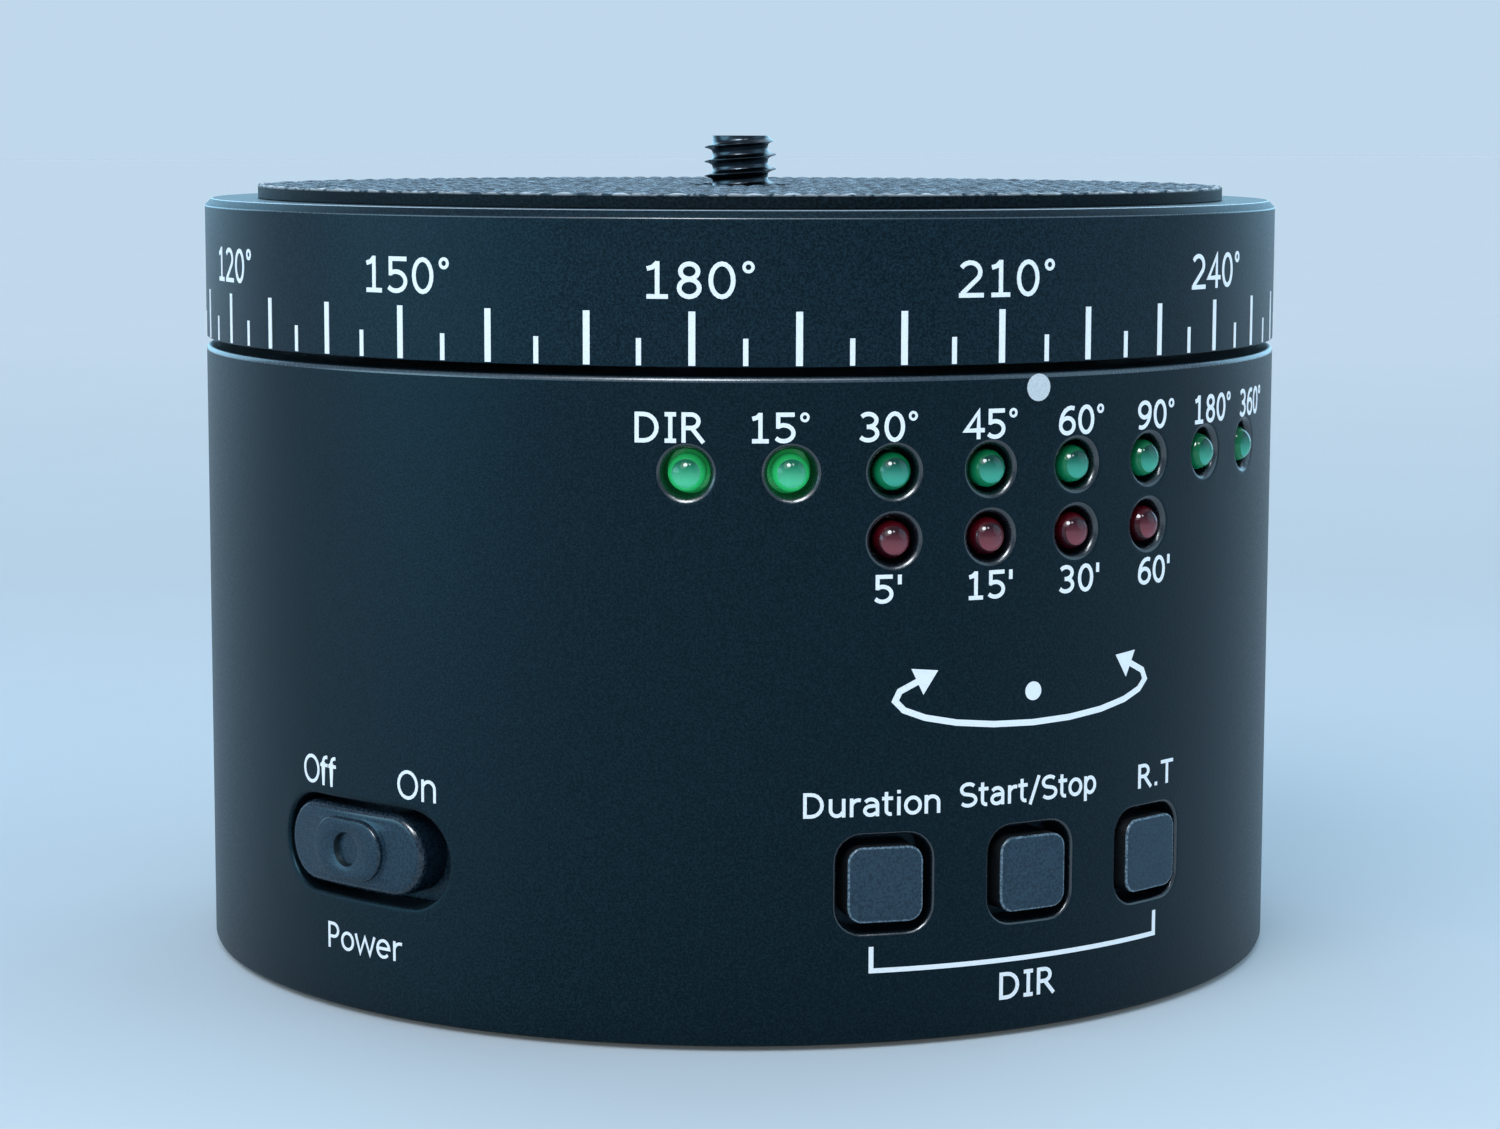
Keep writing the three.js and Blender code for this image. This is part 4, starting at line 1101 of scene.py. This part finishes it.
def camera_stud():
    """The screw that holds the camera: a hidden head and a quarter-inch stud."""
    build = Build()
    root, crest, pitch, bottom = 2.45, 3.175, 1.27, 60.4
    add_thread(build, root, crest, pitch, bottom, STUD_TOP, SHARP_THREAD)
    end_disc(build, root, bottom)
    end_disc(build, root, STUD_TOP)
    head = [(0.01, 57.0), (4.9, 57.0), (5.2, 57.3), (5.2, 60.6), (4.9, 60.9), (0.01, 60.9)]
    build.revolve(head, columns=48)
    obj = build.object("camera_stud", "platform", MATERIALS["black_steel"], smooth_below=35)
    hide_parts("camera_screw")


camera_stud()


# ---- Lights ----


def radial_loop(to_space, radius, out, count=32):
    turns = [2 * math.pi * i / count for i in range(count)]
    return [to_space(radius * math.cos(a), radius * math.sin(a), out) for a in turns]


def box_loops(to_space, x, y, half_x, half_y, low, high):
    corners = [(1, 1), (-1, 1), (-1, -1), (1, -1)]
    return [
        [to_space(x + half_x * a, y + half_y * b, out) for a, b in corners] for out in (low, high)
    ]


def light(row, number, degrees, z, toward_board, looks, slot):
    """A 3 mm domed light with its core, its flange and two bent leads."""
    radius, centre, core = 1.5, 46.05, 0.74
    back, leg, lead, board = 42.4, 0.9, 0.25, 39.8
    to_space = facing(degrees, z)
    build = Build()
    outline = [(0.02, back), (1.8, back), (1.9, 42.5), (1.9, 43.3), (1.8, 43.4), (radius, 43.4)]
    core_angle = math.acos(core)
    for share in (0, 1 / 3, 2 / 3):
        outline.append(dome_point(radius, centre, core_angle * share))
    for share in (0, 1 / 5, 2 / 5, 3 / 5, 4 / 5):
        outline.append(dome_point(radius, centre, core_angle + (math.pi / 2 - core_angle) * share))
    outline.append((0.02, centre + radius))
    build.loft([radial_loop(to_space, r, out) for r, out in outline])
    for side in (-leg, leg):
        build.loft(box_loops(to_space, side, 0, lead, lead, board, back + 0.1))
        middle = toward_board / 2
        build.loft(box_loops(to_space, side, middle, lead, abs(middle) + 0.1, board, board + 2 * lead))
    obj = build.object(f"{row}_light_{number}", "base", MATERIALS[looks])
    obj.data.materials.append(MATERIALS["steel"])
    obj.data.materials.append(MATERIALS[looks + "_core"])
    level = Vector((0, 0, z))
    outwards = Vector(to_space(0, 0, 1)) - level
    for face in obj.data.polygons:
        place = face.center / MM - level
        out = place.dot(outwards)
        across = (place - outwards * out).length
        if out < back - 0.05:
            face.material_index = 1
        elif out > centre and across < core * radius - 0.02:
            face.material_index = 2
    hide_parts(f"{row}_led_{number}")


def dome_point(radius, centre, angle):
    return (radius * math.cos(angle), centre + radius * math.sin(angle))


def lights():
    for number, degrees in ANGLE_LIGHTS:
        looks = "green_lit" if number in LIT_LIGHTS else "green_lens"
        light("angle", number, degrees, ANGLE_Z, -1.6, looks, "green_lens")
    for number, degrees in TIME_LIGHTS:
        light("time", number, degrees, TIME_Z, 1.6, "red_lens", "red_lens")


lights()


# ---- Push buttons ----


def rounded_rise(size, low, high, radius, steps=4):
    """(size, out) pairs up the side of a round rectangle and over its rounded edge."""
    made = [(size, low)]
    for k in range(steps + 1):
        angle = math.pi / 2 * k / steps
        inset, rise = radius * (1 - math.cos(angle)), radius * (math.sin(angle) - 1)
        made.append((grown(size, -inset), high + rise))
    return made


def button_cap(name, body, degrees):
    """A square moulded cap with a flange behind the wall and a stem to its plunger."""
    cap, flange, stem = (6.1, 6.0, 1.2), (9.0, 9.0, 1.5), (3.2, 3.2, 1.6)
    stem_end, back, front, face, edge = 40.9, 42.6, 43.4, BODY_R + 0.3, 0.16
    to_space = facing(degrees, BUTTON_Z)
    steps = [(stem, stem_end), (stem, back)] + plate(flange, back, front)
    steps += rounded_rise(cap, front, face, edge)
    steps += [(grown(cap, -0.8), face + 0.015), (grown(cap, -2.0), face + 0.03)]
    build = Build()
    build.loft(stacked_loops(to_space, steps, 64))
    obj = build.object(f"{name}_button_cap", body, MATERIALS["cap"])
    outwards = Vector(facing(degrees, 0)(0, 0, 1))
    # The cap's rounded edge gets the painted highlight.
    paint_faces(obj, MATERIALS["cap_edge_highlight"], lambda p: face - edge < p.dot(outwards) < face - 0.002)
    # The cap's sides get the near-black painted shade.
    paint_faces(obj, MATERIALS["cap_side_shade"], lambda p: front + 0.1 < p.dot(outwards) < face - edge)
    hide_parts(f"{name}_cap")


for button, angle in BUTTONS.items():
    button_cap(button, f"{button}_button", angle)


# ---- Power slider knob ----


def power_slider():
    """The curved knob: a hidden flange, a stadium face, a raised grip and a dimple in it."""
    knob, grip, flange = (15.9, 6.7, 3.35), (7.7, 4.9, 2.45), (23.6, 10.4, 1.5)
    face, grip_face = BODY_R - 0.1, BODY_R + 0.45
    u, z, count = arc_length(KNOB_ANGLE), SLOT_Z, 96
    back, front = 42.7, 43.6
    steps = plate(flange, back, front) + rounded_rise(knob, front, face, 0.6, steps=6)
    steps += [(grown(knob, -0.8), face), (grown(grip, 0.25), face)]
    steps += rounded_rise(grown(grip, 0.05), face + 0.08, grip_face, 0.2)
    dimple_floor = grip_face - 0.5
    dimple = [(1.5, grip_face), (1.4, grip_face - 0.05), (1.25, dimple_floor), (0.05, dimple_floor)]
    for radius, out in dimple:
        steps.append(((2 * radius, 2 * radius, radius), out))
    build = Build()
    build.loft([wall_loop(size, u, z, out, count) for size, out in steps])
    to_space = facing(KNOB_ANGLE, SLOT_Z)
    for side in (-2.1, 2.1):
        build.loft(box_loops(to_space, side, 0, 0.6, 1.5, 40.9, 42.75))
    obj = build.object("power_slider_knob", "power_slider", MATERIALS["knob"])
    paint_faces(obj, MATERIALS["knob_edge"], lambda p: 46.35 < from_axis(p) < face - 0.03)
    paint_faces(obj, MATERIALS["knob_edge"], lambda p: grip_face - 0.19 < from_axis(p) < grip_face - 0.03)
    middle = Vector(to_space(0, 0, dimple_floor))

    # The dimple's wall gets the near-black painted shade.
    def is_dimple_side(p):
        return 1.2 < (p - middle).length < 1.45 and from_axis(p) < grip_face - 0.06

    paint_faces(obj, MATERIALS["dimple"], is_dimple_side)
    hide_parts("power_knob")


power_slider()


# ---- Underside: rubber ring and tripod bush ----


def foot_ring():
    """The rubber ring under the base, with rounded ribs that grip the table."""
    inner, outer, top, groove, pitch = 16.0, 36.4, 1.1, 0.35, 1.7
    outline = [(inner, top), (inner, 0.3), (inner + 0.3, 0.0)]
    ribs = int((outer - inner - 1.2) / pitch)
    for k in range(ribs):
        start = inner + 0.6 + (k + 0.5) * pitch
        outline += [(start, 0.0), (start + 0.1, groove), (start + 0.5, groove), (start + 0.6, 0.0)]
    outline += [(outer - 0.3, 0.0), (outer, 0.3), (outer, top)]
    build = Build()
    build.revolve(outline, columns=120)
    obj = build.object("foot_ring", "base", MATERIALS["base_rubber"])
    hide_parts("base_pad")


def threaded_bush():
    """The brass bush in the base, threaded for a three-eighths tripod screw."""
    bore, crest, pitch = 4.75, 4.35, 1.5875
    build = Build()
    outline = [(bore, 12.2), (bore, 0.9), (5.0, 0.6), (7.5, 0.6), (7.8, 0.9), (7.8, 12.2)]
    outline += [(10.3, 12.2), (10.5, 12.4), (10.5, 13.3), (10.3, 13.5), (0.01, 13.5), (0.01, 12.2)]
    build.revolve(outline, columns=72)
    root, low, high = bore + 0.02, 1.0, 12.0
    add_thread(build, root, crest, pitch, low, high, FLAT_THREAD, columns=72, chamfer=0)
    back = [(root, high), (root + 0.2, high), (root + 0.2, low), (root, low)]
    build.revolve(back, columns=72, closed=False)
    obj = build.object("threaded_bush", "base", MATERIALS["brass"], smooth_below=35)
    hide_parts("tripod_bush")


foot_ring()
threaded_bush()


# ---- Charging port ----


def charging_port():
    """A steel shell with a rolled lip round a tongue."""
    to_space = facing(180, PORT_Z)
    shell, hollow = (7.6, 3.2, 1.2), (6.9, 2.5, 0.9)
    steps = [(grown(shell, -0.1), 38.0), (shell, 38.1), (shell, 46.0), (grown(shell, -0.12), 46.2)]
    steps += [(grown(hollow, 0.1), 46.2), (hollow, 46.1), (hollow, 39.5)]
    build = Build()
    build.loft(stacked_loops(to_space, steps, 48))
    tongue = (4.4, 0.7, 0.2)
    steps = [(tongue, 39.4), (tongue, 45.0), (grown(tongue, -0.1), 45.2)]
    build.loft(stacked_loops(to_space, steps, 24))
    obj = build.object("charging_port", "base", MATERIALS["steel"])
    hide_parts("charging_socket")


charging_port()


# ---- Stage ----


def stage_floor():
    half = 6.0
    mesh = bpy.data.meshes.new("floor")
    corners = [(-half, -half, 0), (half, -half, 0), (half, half, 0), (-half, half, 0)]
    mesh.from_pydata(corners, [], [(0, 1, 2, 3)])
    n = Nodes("floor_paper")
    fibre = n.noise(0.02, detail=3.0)
    n.bump(fibre, 0.05, 0.1)
    ahead = n.node("ShaderNodeVectorMath", operation="DOT_PRODUCT")
    n.link(n.coords, ahead.inputs[0])
    ahead.inputs[1].default_value = TO_CAMERA
    # The floor is painted lighter towards the camera and darker behind the head: painted light and painted
    # shade.
    nearness = n.range(ahead.outputs["Value"], 0, 1, -0.8, 0.2)
    far, behind = (0.71, 0.7, 0.7), (0.62, 0.645, 0.665)
    beside, before = (0.67, 0.75, 0.8), (0.985, 0.98, 0.97)
    paper_and_painted_light = n.ramp(nearness, [(0.0, far), (0.55, behind), (0.8, beside), (0.93, before)])
    haze = {"Emission_Color": (1.0, 1.0, 0.9), "Emission_Strength": 0.05}
    paper_and_painted_light = n.mix(n.range(fibre, 0, 0.03), paper_and_painted_light, (1.0, 1.0, 1.0))
    n.finish(paper_and_painted_light, 0.9, Specular_IOR_Level=0.0, **haze)
    mesh.materials.append(n.material)
    floor = bpy.data.objects.new("floor", mesh)
    bpy.context.scene.collection.objects.link(floor)


def sun(name, from_camera, elevation, spread, strength, colour=(0.86, 0.94, 1.0), gloss=False):
    """Even light from far away: degrees to the camera's right, up, and across its source. With
    gloss, it is only seen reflected."""
    lamp = bpy.data.lights.new(name, "SUN")
    lamp.angle = math.radians(spread)
    lamp.energy = strength
    lamp.color = colour
    obj = bpy.data.objects.new(name, lamp)
    bpy.context.scene.collection.objects.link(obj)
    turn, rise = math.radians(from_camera), math.radians(elevation)
    level = TO_CAMERA * math.cos(turn) + TO_RIGHT * math.sin(turn)
    source = level * math.cos(rise) + Vector((0, 0, math.sin(rise)))
    obj.rotation_euler = source.to_track_quat("Z", "Y").to_euler()
    obj.visible_diffuse = not gloss


def stage_world():
    """A pale studio: the backdrop as the camera sees it, and a dimmer room that lights the head."""
    world = bpy.data.worlds.new("studio")
    bpy.context.scene.world = world
    world.use_nodes = True
    tree = world.node_tree
    backdrop = tree.nodes["Background"]
    backdrop.inputs["Color"].default_value = (0.527, 0.686, 0.831, 1.0)
    room = tree.nodes.new("ShaderNodeBackground")
    room.inputs["Color"].default_value = (0.3, 0.43, 0.58, 1.0)
    choose = tree.nodes.new("ShaderNodeMixShader")
    path = tree.nodes.new("ShaderNodeLightPath")
    tree.links.new(path.outputs["Is Camera Ray"], choose.inputs[0])
    tree.links.new(room.outputs[0], choose.inputs[1])
    tree.links.new(backdrop.outputs[0], choose.inputs[2])
    tree.links.new(choose.outputs[0], tree.nodes["World Output"].inputs["Surface"])


SKY = (0.55, 0.98, 1.2)
RIM = (0.6, 1.25, 1.7)


def stage_lights():
    sun("key_light", -25, 46, 40, 0.82, (1.0, 0.98, 1.0))
    sun("left_light", -60, 14, 60, 0.4, SKY)
    sun("left_sheen", -72, 2, 45, 1.2, SKY, gloss=True)
    sun("right_light", 85, 25, 50, 0.4, SKY)
    sun("rear_light", 175, 50, 60, 0.4)
    sun("left_rim", -150, 10, 50, 0.7, RIM)
    sun("right_rim", 150, 10, 50, 0.7, RIM)
    sun("window", -14, 50, 22, 3.0, gloss=True)
    sun("lamp", 24, 52, 12, 0.4, gloss=True)


bpy.context.scene.view_settings.view_transform = "Standard"
stage_floor()
stage_world()
stage_lights()
